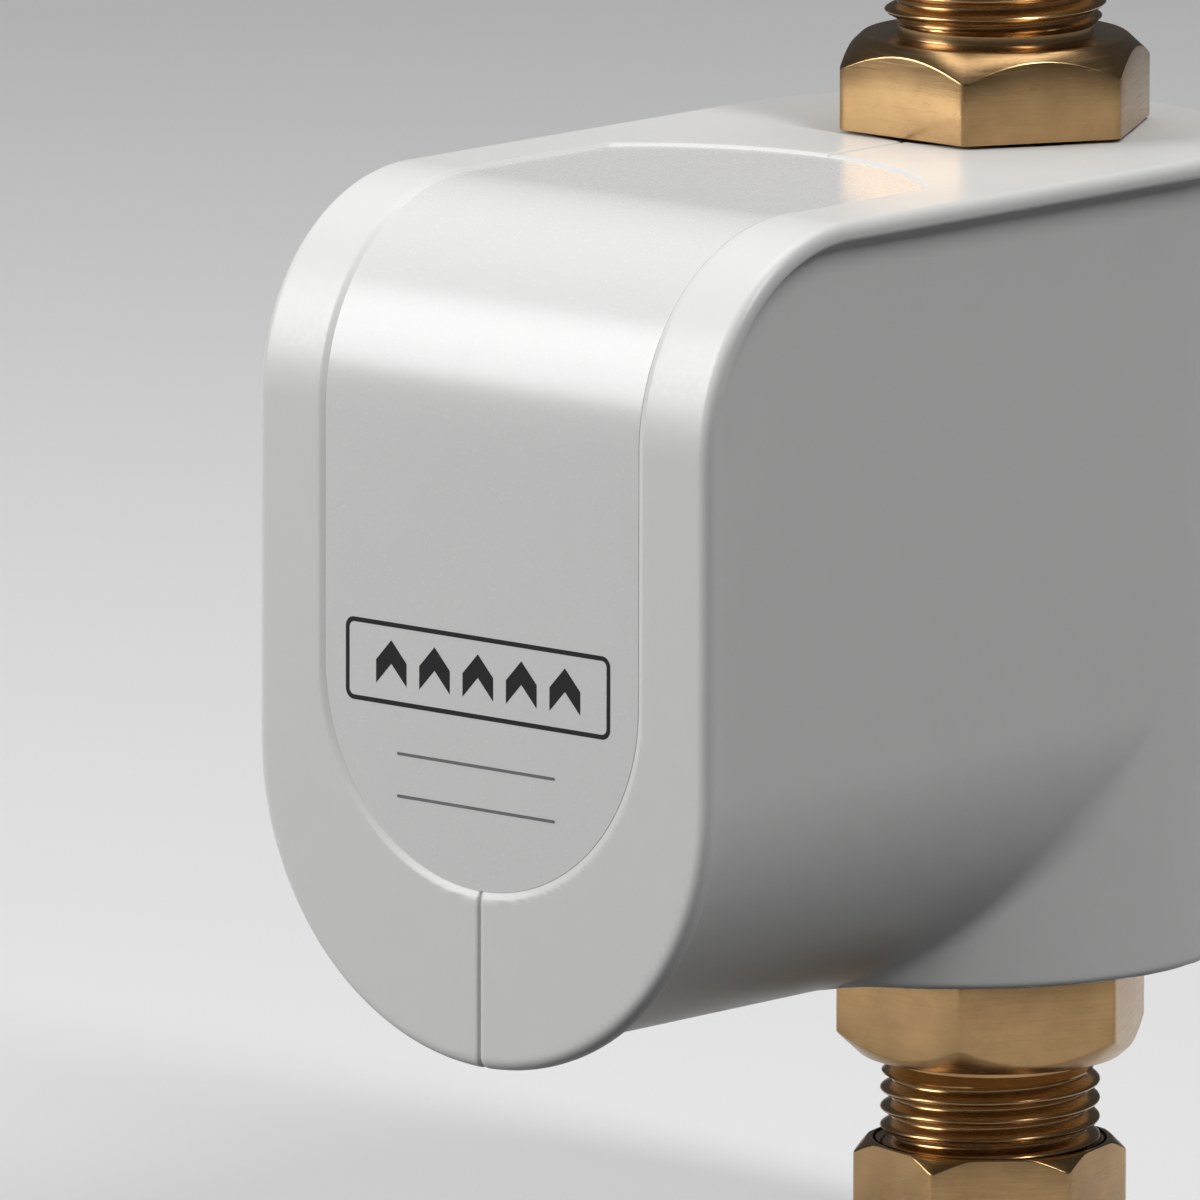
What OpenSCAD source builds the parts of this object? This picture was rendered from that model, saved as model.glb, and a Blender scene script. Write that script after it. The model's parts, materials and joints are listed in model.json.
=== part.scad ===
// In-line water booster pump for 15 mm pipework. A white two-part housing covers a brass
// pump with a wet-rotor motor, and a compression joint at each end takes the pipe.
// Z is up and the water flows upward. X is across, and the housing's front faces -Y.
// The origin is on the pipe axis, at the stop where the end of the inlet pipe rests.

/* [Housing] */
// Half width of the rim that runs round the front and the top
rim_r = 28; // [27.5:0.1:31]
// Thickness of the rim
rim_t = 1.8; // [1.4:0.1:2.2]
// Rounding of the rim's outer edge
rim_edge_r = 1.2; // [0.6:0.1:1.3]
// Distance that the side walls lie inside the rim
side_inset = 1.7; // [1.2:0.1:1.9]
// Thickness of the side walls
side_wall = 2.1; // [1.8:0.1:2.3]
// Thickness of the front, the top and the bottom
plate_t = 2.4; // [2.2:0.1:2.8]
// Distance from the pipe axis to the front face
front_reach = 72.5; // [66:0.5:85]
// Height of the housing on the pipe axis
housing_h = 77.2; // [72:0.1:84]
// Radius of the front top corner
corner_r = 20; // [16:1:22]
// Height of the pump body's drum above the flat bottom
drum_lift = 6.1; // [5.8:0.1:7]
// Room between the pump body's collars and the rear wall
rear_room = 5; // [4.8:0.1:6]
// Width of the groove where the two half shells meet
seam_w = 0.7; // [0.4:0.1:1]
// Depth of that groove
seam_depth = 0.4; // [0.2:0.1:0.6]

/* [Label] */
// Half width of the label's recess
label_half_w = 19; // [15:0.5:22]
// Depth below the top of the centre of the recess's lower round
label_drop = 43.9; // [30:0.1:48]
// Distance in front of the pipe axis at which the recess ends on the top
label_end_reach = 24.6; // [22:0.1:34]
// Radius of that end
label_end_r = 26; // [23:1:40]
// Depth of the recess
recess_depth = 0.5; // [0.4:0.1:1]
// Thickness of the label
label_t = 0.25; // [0.15:0.05:0.4]

/* [Pipe joints] */
// Radius of the socket that takes the pipe
socket_r = 7.575; // [7.56:0.005:7.6]
// Radius of the waterway at the pipe stop
stop_r = 6.2; // [5.5:0.1:6.6]
// Distance from the pipe stop to the hexagon's outer face
stop_gap = 1.1; // [0.6:0.1:3]
// Crest radius of the thread
thread_r = 10.48; // [10.4:0.01:10.5]
// Length of the threaded spigot
thread_l = 15.1; // [14:0.1:18]
// Width across the flats of the hexagons
hex_af = 27; // [26.5:0.1:28]
// Height of the inlet hexagon
inlet_hex_h = 11.4; // [8:0.1:14]
// Height of the outlet hexagon
outlet_hex_h = 8.6; // [7:0.1:12]
// Radius of the neck inside the housing
neck_r = 11.2; // [10.8:0.1:11.6]
// Radius of the plug that screws into the pump body
plug_r = 9.6; // [9.2:0.1:9.8]

/* [Compression nuts] */
// Width across the flats of a nut
nut_af = 22.8; // [22.6:0.1:24]
// Height of a nut
nut_h = 14.7; // [14:0.1:18]
// Length of thread left bare between a hexagon and its nut
nut_gap = 8.4; // [7.2:0.1:10]
// Angle of a nut's corner from X
nut_turn = 45.6; // [0:0.1:60]
// Radius of the hole for the pipe in a nut
nut_hole_r = 7.75; // [7.65:0.01:7.9]
// Largest radius of an olive
olive_r = 8.75; // [8.5:0.05:8.9]
// Length of an olive
olive_l = 7; // [6:0.1:7.4]

/* [Pump body] */
// Room between the pump body's drum and a side wall
drum_room = 5.2; // [4.8:0.1:5.8]
// Distance in front of the pipe axis of the joint face
drum_front = 21; // [20.5:0.1:22]
// Wall of the drum round the impeller chamber
drum_wall = 3; // [2.8:0.1:3.6]
// Distance in front of the pipe axis of the impeller chamber's back
chamber_back = 9.5; // [9.3:0.1:10]
// Radius of the upright column
column_r = 12; // [11:0.1:12.2]
// Radius of the collars at the column's ends
collar_r = 13.5; // [12.6:0.1:13.9]
// Radius of the waterway in the inlet
water_r = 7.2; // [6.8:0.1:7.4]
// Radius of the discharge passage
discharge_r = 4.2; // [3.5:0.1:4.5]
// Distance of a flange screw outside the drum
lug_offset = 1.8; // [1.6:0.1:2]
// Radius of a lug for a flange screw
lug_r = 3; // [2.6:0.1:3.2]

/* [Rotor] */
// Length of the rear bearing
rear_bearing_l = 6; // [5:0.1:7]
// Length of the front bearing
front_bearing_l = 4; // [3:0.1:5]
// Gap between the impeller and its chamber
impeller_gap = 1.4; // [1:0.1:2.5]
// Height of the impeller's vanes
vane_h = 4.2; // [3.6:0.1:4.6]
// Number of vanes
vane_n = 6; // [5:1:8]
// Gap between the rotor magnet and its can
magnet_gap = 0.5; // [0.3:0.1:1]
// Length by which the stator core is shorter than the magnet
core_short = 3; // [1:0.5:5]

/* [Motor] */
// Step from the drum in to the motor shell
shell_step = 0.1; // [0.1:0.1:0.4]
// Length of the rubber buffer between the motor and the front wall
buffer_l = 9; // [6:0.5:12]
// Number of stator teeth
tooth_n = 6; // [4:1:7]

/* [Check valve] */
// Outer radius of the valve cage
cage_r = 8.15; // [7.8:0.05:8.4]
// Room between the discharge passage and the valve cage
cage_room = 1.2; // [0.8:0.1:1.6]
// Radius of the poppet's head
poppet_r = 6.5; // [6:0.1:6.7]
// Opening travel of the poppet
poppet_travel = 3.5; // [2:0.1:4]
// Turns of the valve spring
spring_turns = 5.5; // [4:0.5:6]
// Wire diameter of the valve spring
spring_wire = 0.5; // [0.4:0.05:0.6]

/* [Flow sensor] */
// Radius of the turbine
turbine_r = 6.1; // [5.5:0.1:6.1]
// Height of the turbine
turbine_h = 8.4; // [6:0.1:9]
// Number of turbine blades
blade_n = 6; // [4:1:8]
// Lean of a blade from the flow
blade_lean = 35; // [15:1:45]

/* [Electronics] */
// Gap between the circuit board and a side wall
board_side_gap = 2.7; // [1.8:0.1:3]
// Distance in front of the pipe axis of the board's back edge
board_back = 17; // [16.6:0.1:20]
// Gap between the board and the front wall
board_front_gap = 4.1; // [2:0.1:6]
// Gap between the board and the motor shell
board_lift = 5.2; // [4.8:0.1:6]

/* [Hidden] */

// Facets of the preview only, and the overrun of every cut
$fn = 72;
over = 1;

// Clearances: a push fit, a loose seat, a running pin and the nut on its thread
fit_gap = 0.05;
seat_gap = 0.3;
running_gap = 0.04;
thread_gap = 0.07;

// Radii of the side walls outside and inside
side_r = rim_r - side_inset;
cavity_r = side_r - side_wall;

// Distance of the rear round's centre in front of the pipe axis
rear_shift = cavity_r - collar_r - rear_room;

// Heights of the housing, built up from the inlet pipe's stop
base_z = stop_gap + inlet_hex_h + seat_gap;
top_z = base_z + housing_h;
drum_r = cavity_r - drum_room;
motor_z = base_z + drum_lift + drum_r;
head_room = top_z - motor_z;
corner_y = corner_r - front_reach;
corner_z = top_z - corner_r;
stop_to_stop = top_z + seat_gap + outlet_hex_h + stop_gap;

// Depth of the side walls' own front and top behind the rim's faces
core_inset = 0.5;
// Distance in front of the pipe axis at which the flat bottom ends
bottom_front = 30.6;

// Screws of the housing: radii, seat and length
case_screw_r = 1.1;
case_screw_head_r = 2.1;
case_screw_head_h = 1.3;
case_screw_l = 15;
case_screw_seat = 7;
case_boss_r = 3;
low_boss_r = 2.6;
low_screw_gap = 1.5;
low_screw_reach = front_reach - plate_t - low_boss_r - low_screw_gap;
corner_boss_offset = 8;
corner_boss_share = 0.7;
rear_boss_rise = 14;
// Ribs that hold the motor and the pump body
rib_t = 2;
motor_rib_back = 11.8;
motor_rib_front = 3.5;
motor_rib_top = 8;
body_rib_inset = 6;
body_rib_front = 4;
// Ledges that hold the circuit board
ledge_t = 1.5;
ledge_grip = 0.6;

// Grommet of the mains lead, at the rear on the seam
grommet_z = 50;
grommet_bore_r = 3.3;
grommet_neck_r = 4.7;
grommet_inner_r = 5.4;
grommet_inner_t = 1.3;
grommet_inner_gap = 0.7;
grommet_flange_r = 5.8;
grommet_flange_t = 1.8;
grommet_nose_l = 4.2;
grommet_nose_r = 5;

// Rubber isolators round the necks
isolator_r = 12.9;
isolator_flange_r = 14.4;
isolator_flange_t = 1.1;
washer_t = 1.5;
washer_r = 12.4;

// Heights on a fitting, from its own pipe stop toward the pump
plug_share = 0.194;
plug_l = plug_share * head_room;
inlet_shoulder = stop_gap + inlet_hex_h + seat_gap + plate_t + isolator_flange_t + fit_gap * 2;
outlet_shoulder = stop_gap + outlet_hex_h + seat_gap + plate_t + isolator_flange_t + fit_gap * 2;
body_bottom = inlet_shoulder + washer_t;
body_top = stop_to_stop - outlet_shoulder - washer_t;
plug_slack = 0.5;

// Hexagon and spigot details
hex_corner_r = hex_af / 2 / cos(30);
hex_face_r = hex_af / 2 - 1;
hex_chamfer_h = 2.85;
spigot_groove_r = 9.3;
spigot_groove_w = 0.9;
spigot_chamfer = 1.2;
mouth_z = stop_gap - thread_l;
seat_cone_r = 9.2;
seat_cone_h = 1.9;
stop_t = 2.2;

// Nut and olive details
nut_corner_r = nut_af / 2 / cos(30);
nut_face_r = nut_corner_r - 1.5;
nut_chamfer_h = 1.5;
nut_top = stop_gap - nut_gap;
nut_end_t = 1.45;
nut_cone_h = 1.75;
olive_tip_r = 7.95;
olive_taper_h = 1.1;
olive_gap = 0.8;

// Pump body details
chamber_r = drum_r - drum_wall;
lug_circle_r = drum_r + lug_offset;
collar_h = 11;
drum_back = 5;
drum_cone = 3;
drum_back_step = 4;
inlet_top = 7.6;
discharge_gap = 0.4;
discharge_reach = chamber_back + discharge_r + discharge_gap;
discharge_rise_share = 0.32;
discharge_z = motor_z + discharge_rise_share * head_room;
discharge_wall = 2.2;
outlet_bore_r = 6;
outlet_sump = 1;
lug_back = 10;
lug_step = 0.2;
screw_r = 1.2;
screw_head_r = 1.8;
screw_head_h = 2.2;
screw_depth = 12;
eye_share = 0.431;
wear_share = 0.4875;
wear_bore_share = 0.406;
eye_bore_share = 0.325;
eye_r = eye_share * chamber_r;
wear_r = wear_share * chamber_r;
wear_bore_r = wear_bore_share * chamber_r;
wear_t = 0.8;

// Radii of the motor, which follow the drum's
can_share = 0.508;
bearing_share = 0.47;
shaft_share = 0.208;
shell_r = drum_r - shell_step;
can_r = can_share * shell_r;
bearing_r = bearing_share * can_r;
shaft_r = shaft_share * can_r;

// Places along the motor's axis, as distances in front of the pipe axis
plate_flange_t = 1.6;
can_flange_t = 1.6;
shell_flange_t = 1.8;
can_flange = drum_front + plate_flange_t;
shell_flange = can_flange + can_flange_t;
rear_bearing_end = drum_front + rear_bearing_l;
thrust_t = 1;
thrust_back = rear_bearing_end + seat_gap;
magnet_back = thrust_back + thrust_t;
shell_t = 1;
shell_cap_t = 1.5;
shell_end = front_reach - plate_t - 2 * fit_gap - buffer_l - shell_cap_t;
can_wall = 0.6;
can_end = shell_end - 3 * seat_gap - can_wall;
front_bearing_front = can_end - 4 * fit_gap;
front_bearing_back = front_bearing_front - front_bearing_l;
magnet_front = front_bearing_back - 5 * seat_gap;
magnet_l = magnet_front - magnet_back;
core_l = magnet_l - core_short;
coil_overhang = 3.2;
coil_clearance = 2.6;
core_back = shell_flange + coil_clearance + coil_overhang;
buffer_r = 8;

// Rotor details
impeller_r = chamber_r - impeller_gap;
magnet_r = can_r - can_wall - magnet_gap;
impeller_setback = 3.2;
back_shroud_t = 1.4;
front_shroud_t = 1;
impeller_back = drum_front - impeller_setback;
vane_front = impeller_back - back_shroud_t;
vane_back = vane_front - vane_h;
eye_collar_r = wear_bore_r - seat_gap;
eye_bore_r = eye_bore_share * chamber_r;
eye_collar_back = chamber_back - wear_t + fit_gap * 2;
hub_r = 3.6;
vane_root_r = 4.4;
vane_tip_gap = 0.2;
hub_top = drum_front - 2 * seat_gap;
hub_base = vane_front - 2.4;
vane_t = 1;
vane_arc_r = 11;
vane_sweep = 62;
vane_clip = 20;
impeller_nut_r = 3.2;
impeller_nut_h = 2.4;
thrust_r = 5;
bearing_hub_wall = 2;
bearing_hub_r = bearing_r + bearing_hub_wall;
bearing_plate_seat = 1;
bearing_plate_r = chamber_r + bearing_plate_seat;
seal_gap = 0.15;
seal_w = 1.4;

// Stator details
core_r = shell_r - shell_t - fit_gap * 2;
yoke_share = 0.124;
tooth_share = 0.258;
shoe_share = 0.084;
coil_share = 0.084;
coil_in_share = 0.663;
coil_out_share = 0.831;
yoke_t = yoke_share * core_r;
tooth_w = tooth_share * core_r;
shoe_t = shoe_share * core_r;
air_gap = 0.25;
slot_angle = 12;
bobbin_t = 0.5;
bobbin_end_t = 0.9;
coil_w = coil_share * core_r;
coil_in_r = coil_in_share * core_r;
coil_out_r = coil_out_share * core_r;
lead_r = 0.8;
lead_pitch = 3;
lead_reach = 1.6;

// Check valve details
cage_top = stop_to_stop - outlet_shoulder - plug_l - seat_gap;
cage_z = discharge_z + discharge_r + cage_room;
cage_h = cage_top - cage_z;
cage_wall = 1;
seat_share = 0.16;
seat_h = seat_share * cage_h;
seat_bore_r = 5.2;
seal_t = 0.9;
seal_in_r = 3.2;
poppet_head_t = 1.4;
stem_r = 1.2;
cage_hub_r = 2.4;
cage_hub_share = 0.175;
cage_hub_h = cage_hub_share * cage_h;
arm_w = 1.6;
arm_n = 3;
spider_inset = 0.4;
spring_r = 2.1;

// Flow sensor details
strainer_flange_t = 1;
strainer_wall = 0.7;
strainer_top_r = 2.2;
strainer_h = 6;
strainer_slot_n = 8;
strainer_slot_w = 1;
cage_tube_t = 0.6;
spider_t = 1.5;
spider_low = 9.6;
turbine_hub_r = 2.1;
axle_r = 0.8;
turbine_z = spider_low + spider_t + seat_gap;
blade_t = 0.7;
ring_magnet_r = 1.6;
ring_magnet_h = 2;
hall_w = 4;
hall_t = 1.5;
hall_h = 3;
hall_x = 11.5;
hall_z = body_bottom + 1.6;
hall_lead_r = 0.5;
hall_lead_x = 15;
hall_lead_over = 1.2;
hall_lead_inset = 2;
hall_lead_reach = board_back + hall_lead_inset;

// Circuit board, and the room above it
board_t = 1.6;
board_rise = shell_r + board_lift;
board_half_w = cavity_r - board_side_gap;
board_l = front_reach - plate_t - board_front_gap - board_back;
board_z = motor_z + board_rise;
board_top = board_z + board_t;
board_room = top_z - plate_t - board_top;

// Parts on the board: x and width are shares of its half width, place and length along it are
// shares of its length, from its back edge to the part's front, and height is a share of the room
capacitor_shares = [0.51, 0.27, 0.62];
capacitor_r = 6.3;
choke_shares = [-0.51, 0.74];
choke_r = 5.4;
choke_wire_r = 2.4;
module_place_shares = [-0.9, 0.51];
module_size_shares = [0.79, 0.33, 0.5];
chip_x_share = 0.05;
chip_place_shares = [0.53, 0.69, 0.86];
chip_l = 6;
chip_w = 4;
chip_h = 1.6;
sink_place_shares = [0.47, 0.78];
sink_size_shares = [0.42, 0.28, 0.5];
sink_base = 2;
fin_n = 5;
fin_t = 0.9;
terminal_place_shares = [-0.79, 0.15];
terminal_size_shares = [0.84, 0.14, 0.37];
terminal_n = 3;
terminal_screw_r = 2;

housing_white = "white";
brass = "goldenrod";
rubber = "dimgray";
steel = "silver";
plastic = "lightsteelblue";

// Puts a shape drawn as (Y, Z) along X, centred on the seam
module along_x(w) {
  rotate([90, 0, 90]) linear_extrude(w, center = true) children();
}

// Puts a shape drawn as (X, Z) along Y, from the distance near to the distance far in front
module along_y(near, far) {
  translate([0, -near, 0]) rotate([90, 0, 0]) linear_extrude(far - near) children();
}

// Turns a shape's own Z to point forward along the motor's axis
module on_motor_axis() {
  translate([0, 0, motor_z]) rotate([90, 0, 0]) children();
}

module ring(outer, inner, h) {
  difference() {
    cylinder(r = outer, h = h);
    translate([0, 0, -over]) cylinder(r = inner, h = h + 2 * over);
  }
}

// Side view of the housing, set in by d from its faces
module side_shape(d) {
  translate([corner_y, corner_z]) circle(corner_r - d);
  translate([d - front_reach, -front_reach])
    square([2 * front_reach, corner_z + front_reach]);
  translate([corner_y, corner_z]) square([2 * front_reach, corner_r - d]);
}

// Front view of the housing: straight sides on a half round
module front_shape(r) {
  translate([0, motor_z]) circle(r);
  translate([-r, motor_z]) square([2 * r, 2 * housing_h]);
}

// Body of the housing with side radius r, faces set in by d and its bottom at z
module housing_form(r, d, bottom) {
  difference() {
    intersection() {
      along_y(rear_shift, front_reach) front_shape(r);
      along_x(2 * r + over) side_shape(d);
    }
    translate([-r, d - bottom_front, bottom - front_reach])
      cube([2 * r, 2 * bottom_front, front_reach]);
  }
  translate([0, -rear_shift, bottom]) cylinder(r = r, h = top_z - d - bottom);
}

// Half of the rim's section: width from the seam outward, height from its back to its face
module rim_half_section(w) {
  square([w, rim_t - rim_edge_r]);
  square([w - rim_edge_r, rim_t]);
  translate([w - rim_edge_r, rim_t - rim_edge_r]) circle(rim_edge_r);
}

module rim_section() {
  rim_half_section(rim_r);
  mirror([1, 0]) rim_half_section(rim_r);
}

// Rim: half round and straight sides at the front, the corner, the top and the rear round
module rim() {
  on_motor_axis() translate([0, 0, front_reach - rim_t]) rotate(180)
    rotate_extrude(angle = 180) rim_half_round();
  translate([0, rim_t - front_reach, motor_z]) mirror([0, 1, 0])
    linear_extrude(corner_z - motor_z) rim_section();
  translate([0, corner_y, corner_z]) rotate([90, 0, 90]) rotate([0, 0, 90])
    rotate_extrude(angle = 90)
      translate([corner_r - rim_t, 0]) mirror([1, -1]) rim_section();
  along_y(rear_shift, -corner_y) translate([0, top_z - rim_t]) rim_section();
  translate([0, -rear_shift, top_z - rim_t]) rotate_extrude() rim_half_round();
}

module rim_half_round() {
  intersection() {
    rim_half_section(rim_r);
    square([rim_r, rim_t]);
  }
}

// Layer that follows the front, the corner and the top, between two depths
module face_layer(d0, d1, w) {
  along_x(w) difference() {
    side_shape(d0);
    side_shape(d1);
  }
}

// Space of the label between two depths, with its half width w
module label_space(d0, d1, w) {
  side_gap = label_half_w - w;
  intersection() {
    face_layer(d0, d1, 2 * w);
    union() {
      along_y(-corner_y - over, front_reach + over) {
        translate([0, top_z - label_drop]) circle(w);
        translate([-w, top_z - label_drop]) square([2 * w, 2 * label_drop]);
      }
      translate([0, 0, corner_z]) linear_extrude(2 * corner_r) intersection() {
        translate([0, -label_end_reach - label_end_r]) circle(label_end_r - side_gap);
        translate([-w, corner_y - over]) square([2 * w, front_reach]);
      }
    }
  }
}

// Side view of the whole housing on the seam, set in by d
module seam_outline(d) {
  intersection() {
    side_shape(d);
    union() {
      translate([-front_reach, motor_z - side_r + d])
        square([front_reach - bottom_front - d, housing_h + side_r]);
      translate([-front_reach, motor_z - rim_r + d]) square([rim_t - d, housing_h + rim_r]);
      translate([-front_reach, base_z + d])
        square([front_reach - rear_shift + side_r - d, housing_h]);
      translate([-front_reach, top_z - rim_t])
        square([front_reach - rear_shift + rim_r - d, rim_t]);
    }
  }
}

rear_screw_y = cavity_r - rear_shift - case_boss_r - seat_gap / 2;
// Housing screws: place along Y, height and boss radius
case_screws = [
  [corner_y - corner_boss_offset, board_top + corner_boss_share * board_room, case_boss_r],
  [-low_screw_reach, motor_z - cavity_r + low_boss_r, low_boss_r],
  [rear_screw_y, grommet_z - rear_boss_rise, case_boss_r],
  [rear_screw_y, grommet_z + rear_boss_rise, case_boss_r]
];

// Cylinder across the housing from x0 to x1
module cross_cylinder(place, r, x0, x1) {
  translate([x0, place[0], place[1]]) rotate([0, 90, 0]) cylinder(r = r, h = x1 - x0);
}

module motor_ribs() {
  for (reach = [shell_flange + motor_rib_back, shell_end - motor_rib_front])
    difference() {
      along_y(reach - rib_t / 2, reach + rib_t / 2) intersection() {
        front_shape(side_r - core_inset);
        translate([-side_r, motor_z - side_r]) square([2 * side_r, side_r + motor_rib_top]);
      }
      on_motor_axis() cylinder(r = shell_r + seat_gap, h = front_reach);
    }
}

module body_ribs() {
  for (z = [body_bottom + body_rib_inset, body_top - body_rib_inset - rib_t])
    translate([0, 0, z]) difference() {
      intersection() {
        translate([0, -rear_shift, 0]) cylinder(r = side_r - core_inset, h = rib_t);
        translate([-side_r, body_rib_front, 0]) cube([2 * side_r, side_r, rib_t]);
      }
      translate([0, 0, -over]) cylinder(r = collar_r + seat_gap, h = rib_t + 2 * over);
    }
}

module board_ledges() {
  for (side = [-1, 1], z = [board_z - ledge_t - fit_gap, board_top + fit_gap])
    translate([side * (board_half_w - ledge_grip + side_r - core_inset) / 2,
        -board_back - board_l / 2, z + ledge_t / 2])
      cube([side_r - core_inset - board_half_w + ledge_grip, board_l, ledge_t], center = true);
}

module housing() {
  difference() {
    union() {
      difference() {
        union() {
          housing_form(side_r, core_inset, base_z);
          rim();
        }
        housing_form(cavity_r, plate_t, base_z + plate_t);
      }
      motor_ribs();
      body_ribs();
      board_ledges();
      for (place = case_screws)
        intersection() {
          cross_cylinder(place, place[2], -side_r, side_r);
          housing_form(side_r - core_inset, 2 * core_inset, base_z + core_inset);
        }
    }
    label_space(-over, recess_depth, label_half_w);
    translate([0, 0, base_z - over]) cylinder(r = isolator_r + fit_gap, h = plate_t + 2 * over);
    translate([0, 0, top_z - plate_t - over])
      cylinder(r = isolator_r + fit_gap, h = plate_t + 2 * over);
    translate([0, side_r, grommet_z]) rotate([90, 0, 0])
      cylinder(r = grommet_neck_r + fit_gap, h = side_r - collar_r);
    face_layer(-over, seam_depth, seam_w);
    along_x(seam_w) difference() {
      translate([-2 * front_reach, -front_reach]) square([4 * front_reach, 4 * front_reach]);
      seam_outline(seam_depth);
    }
    for (place = case_screws) {
      cross_cylinder(place, case_screw_head_r + fit_gap * 2, -rim_r, -case_screw_seat);
      cross_cylinder(place, case_screw_r, -case_screw_seat - over,
        case_screw_l - case_screw_seat + plug_slack);
    }
  }
}

// One half of the housing: side is -1 for the left half and 1 for the right half
module housing_half(side) {
  intersection() {
    housing();
    translate([side * rim_r, 0, top_z / 2]) cube([2 * rim_r, 4 * front_reach, 4 * top_z], center = true);
  }
}

module housing_left() {
  color(housing_white) housing_half(-1);
}

module housing_right() {
  color(housing_white) housing_half(1);
}

module front_label() {
  color("whitesmoke")
    label_space(recess_depth - label_t, recess_depth, label_half_w - seam_w / 4);
}

module housing_screws() {
  color(steel)
    for (place = case_screws) {
      cross_cylinder(place, case_screw_head_r, -case_screw_seat - case_screw_head_h, -case_screw_seat);
      cross_cylinder(place, case_screw_r, -case_screw_seat, case_screw_l - case_screw_seat);
    }
}

// Rubber ring in the housing's hole with a flange inside, drawn from the housing's outer face up
module isolator() {
  translate([0, 0, fit_gap]) ring(isolator_r, neck_r + fit_gap, plate_t);
  translate([0, 0, plate_t + fit_gap])
    ring(isolator_flange_r, neck_r + fit_gap, isolator_flange_t);
}

module lower_isolator() {
  color(rubber) translate([0, 0, base_z]) isolator();
}

module upper_isolator() {
  color(rubber) translate([0, 0, top_z]) mirror([0, 0, 1]) isolator();
}

// Grommet: flange inside, neck in the wall, flange outside and a short tapered nose
module cable_grommet() {
  neck_end = grommet_inner_t + grommet_inner_gap + side_wall + fit_gap;
  color(rubber)
    translate([0, side_r - rear_shift + fit_gap - neck_end, grommet_z]) rotate([-90, 0, 0])
      rotate_extrude() polygon([
        [grommet_bore_r, 0],
        [grommet_inner_r, 0],
        [grommet_inner_r, grommet_inner_t],
        [grommet_neck_r, grommet_inner_t],
        [grommet_neck_r, neck_end],
        [grommet_flange_r, neck_end],
        [grommet_flange_r, neck_end + grommet_flange_t],
        [grommet_nose_r, neck_end + grommet_flange_t],
        [grommet_neck_r, neck_end + grommet_nose_l],
        [grommet_bore_r, neck_end + grommet_nose_l]
      ]);
}

module hex_bar(corner, h) {
  cylinder(r = corner, h = h, $fn = 6);
}

// Fitting from its own stop: mouth down, hexagon, neck, and plug toward the pump
module fitting(hex_h, shoulder) {
  difference() {
    union() {
      rotate_extrude() polygon([
        [0, mouth_z],
        [thread_r - spigot_chamfer, mouth_z],
        [thread_r, mouth_z + spigot_chamfer],
        [thread_r, stop_gap - spigot_groove_w - thread_r + spigot_groove_r],
        [spigot_groove_r, stop_gap - spigot_groove_w],
        [spigot_groove_r, stop_gap + over],
        [0, stop_gap + over]
      ]);
      intersection() {
        translate([0, 0, stop_gap]) hex_bar(hex_corner_r, hex_h);
        rotate_extrude() polygon([
          [0, stop_gap],
          [hex_face_r, stop_gap],
          [hex_corner_r, stop_gap + hex_chamfer_h],
          [hex_corner_r + over, stop_gap + hex_chamfer_h],
          [hex_corner_r + over, stop_gap + hex_h],
          [0, stop_gap + hex_h]
        ]);
      }
      translate([0, 0, stop_gap + hex_h / 2]) cylinder(r = neck_r, h = shoulder - stop_gap - hex_h / 2);
      translate([0, 0, shoulder - over]) cylinder(r = plug_r, h = plug_l + over);
    }
    translate([0, 0, mouth_z - over]) cylinder(r = socket_r, h = over - mouth_z);
    rotate_extrude() polygon([
      [0, mouth_z - over],
      [seat_cone_r, mouth_z - over],
      [seat_cone_r, mouth_z],
      [socket_r, mouth_z + seat_cone_h],
      [0, mouth_z + seat_cone_h]
    ]);
    translate([0, 0, -over]) cylinder(r = stop_r, h = shoulder + plug_l + 2 * over);
    translate([0, 0, stop_t]) cylinder(r = water_r, h = shoulder + plug_l);
  }
}

module inlet_fitting() {
  color(brass) fitting(inlet_hex_h, inlet_shoulder);
}

// Stands what is drawn for the inlet end at the outlet end, upside down
module at_outlet() {
  translate([0, 0, stop_to_stop]) mirror([0, 0, 1]) children();
}

module outlet_fitting() {
  color(brass) at_outlet() fitting(outlet_hex_h, outlet_shoulder);
}

// Compression nut on the spigot: its thread, the olive's seat and the hole for the pipe
module nut() {
  nut_bottom = nut_top - nut_h;
  cone_top = nut_bottom + nut_end_t + nut_cone_h;
  difference() {
    intersection() {
      translate([0, 0, nut_bottom]) rotate(nut_turn) hex_bar(nut_corner_r, nut_h);
      rotate_extrude() polygon([
        [0, nut_bottom],
        [nut_face_r, nut_bottom],
        [nut_corner_r, nut_bottom + nut_chamfer_h],
        [nut_corner_r, nut_top - nut_chamfer_h],
        [nut_face_r, nut_top],
        [0, nut_top]
      ]);
    }
    translate([0, 0, nut_bottom - over]) cylinder(r = nut_hole_r, h = nut_h + 2 * over);
    rotate_extrude() polygon([
      [0, nut_bottom + nut_end_t],
      [nut_hole_r, nut_bottom + nut_end_t],
      [seat_cone_r, cone_top],
      [seat_cone_r, cone_top + seat_gap],
      [thread_r + thread_gap, cone_top + seat_gap],
      [thread_r + thread_gap, nut_top + over],
      [0, nut_top + over]
    ]);
  }
}

module inlet_nut() {
  color(brass) nut();
}

module outlet_nut() {
  color(brass) at_outlet() nut();
}

// Olive: a ring tapered to both ends, between the spigot's cone and the nut's
module olive() {
  top = mouth_z + seat_cone_h - olive_gap;
  rotate_extrude() polygon([
    [socket_r + fit_gap, top],
    [olive_tip_r, top],
    [olive_r, top - olive_taper_h],
    [olive_r, top - olive_l + olive_taper_h],
    [olive_tip_r, top - olive_l],
    [socket_r + fit_gap, top - olive_l]
  ]);
}

module inlet_olive() {
  color("darkgoldenrod") olive();
}

module outlet_olive() {
  color("darkgoldenrod") at_outlet() olive();
}

module inlet_washer() {
  color(rubber) translate([0, 0, inlet_shoulder]) ring(washer_r, plug_r + fit_gap, washer_t);
}

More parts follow.
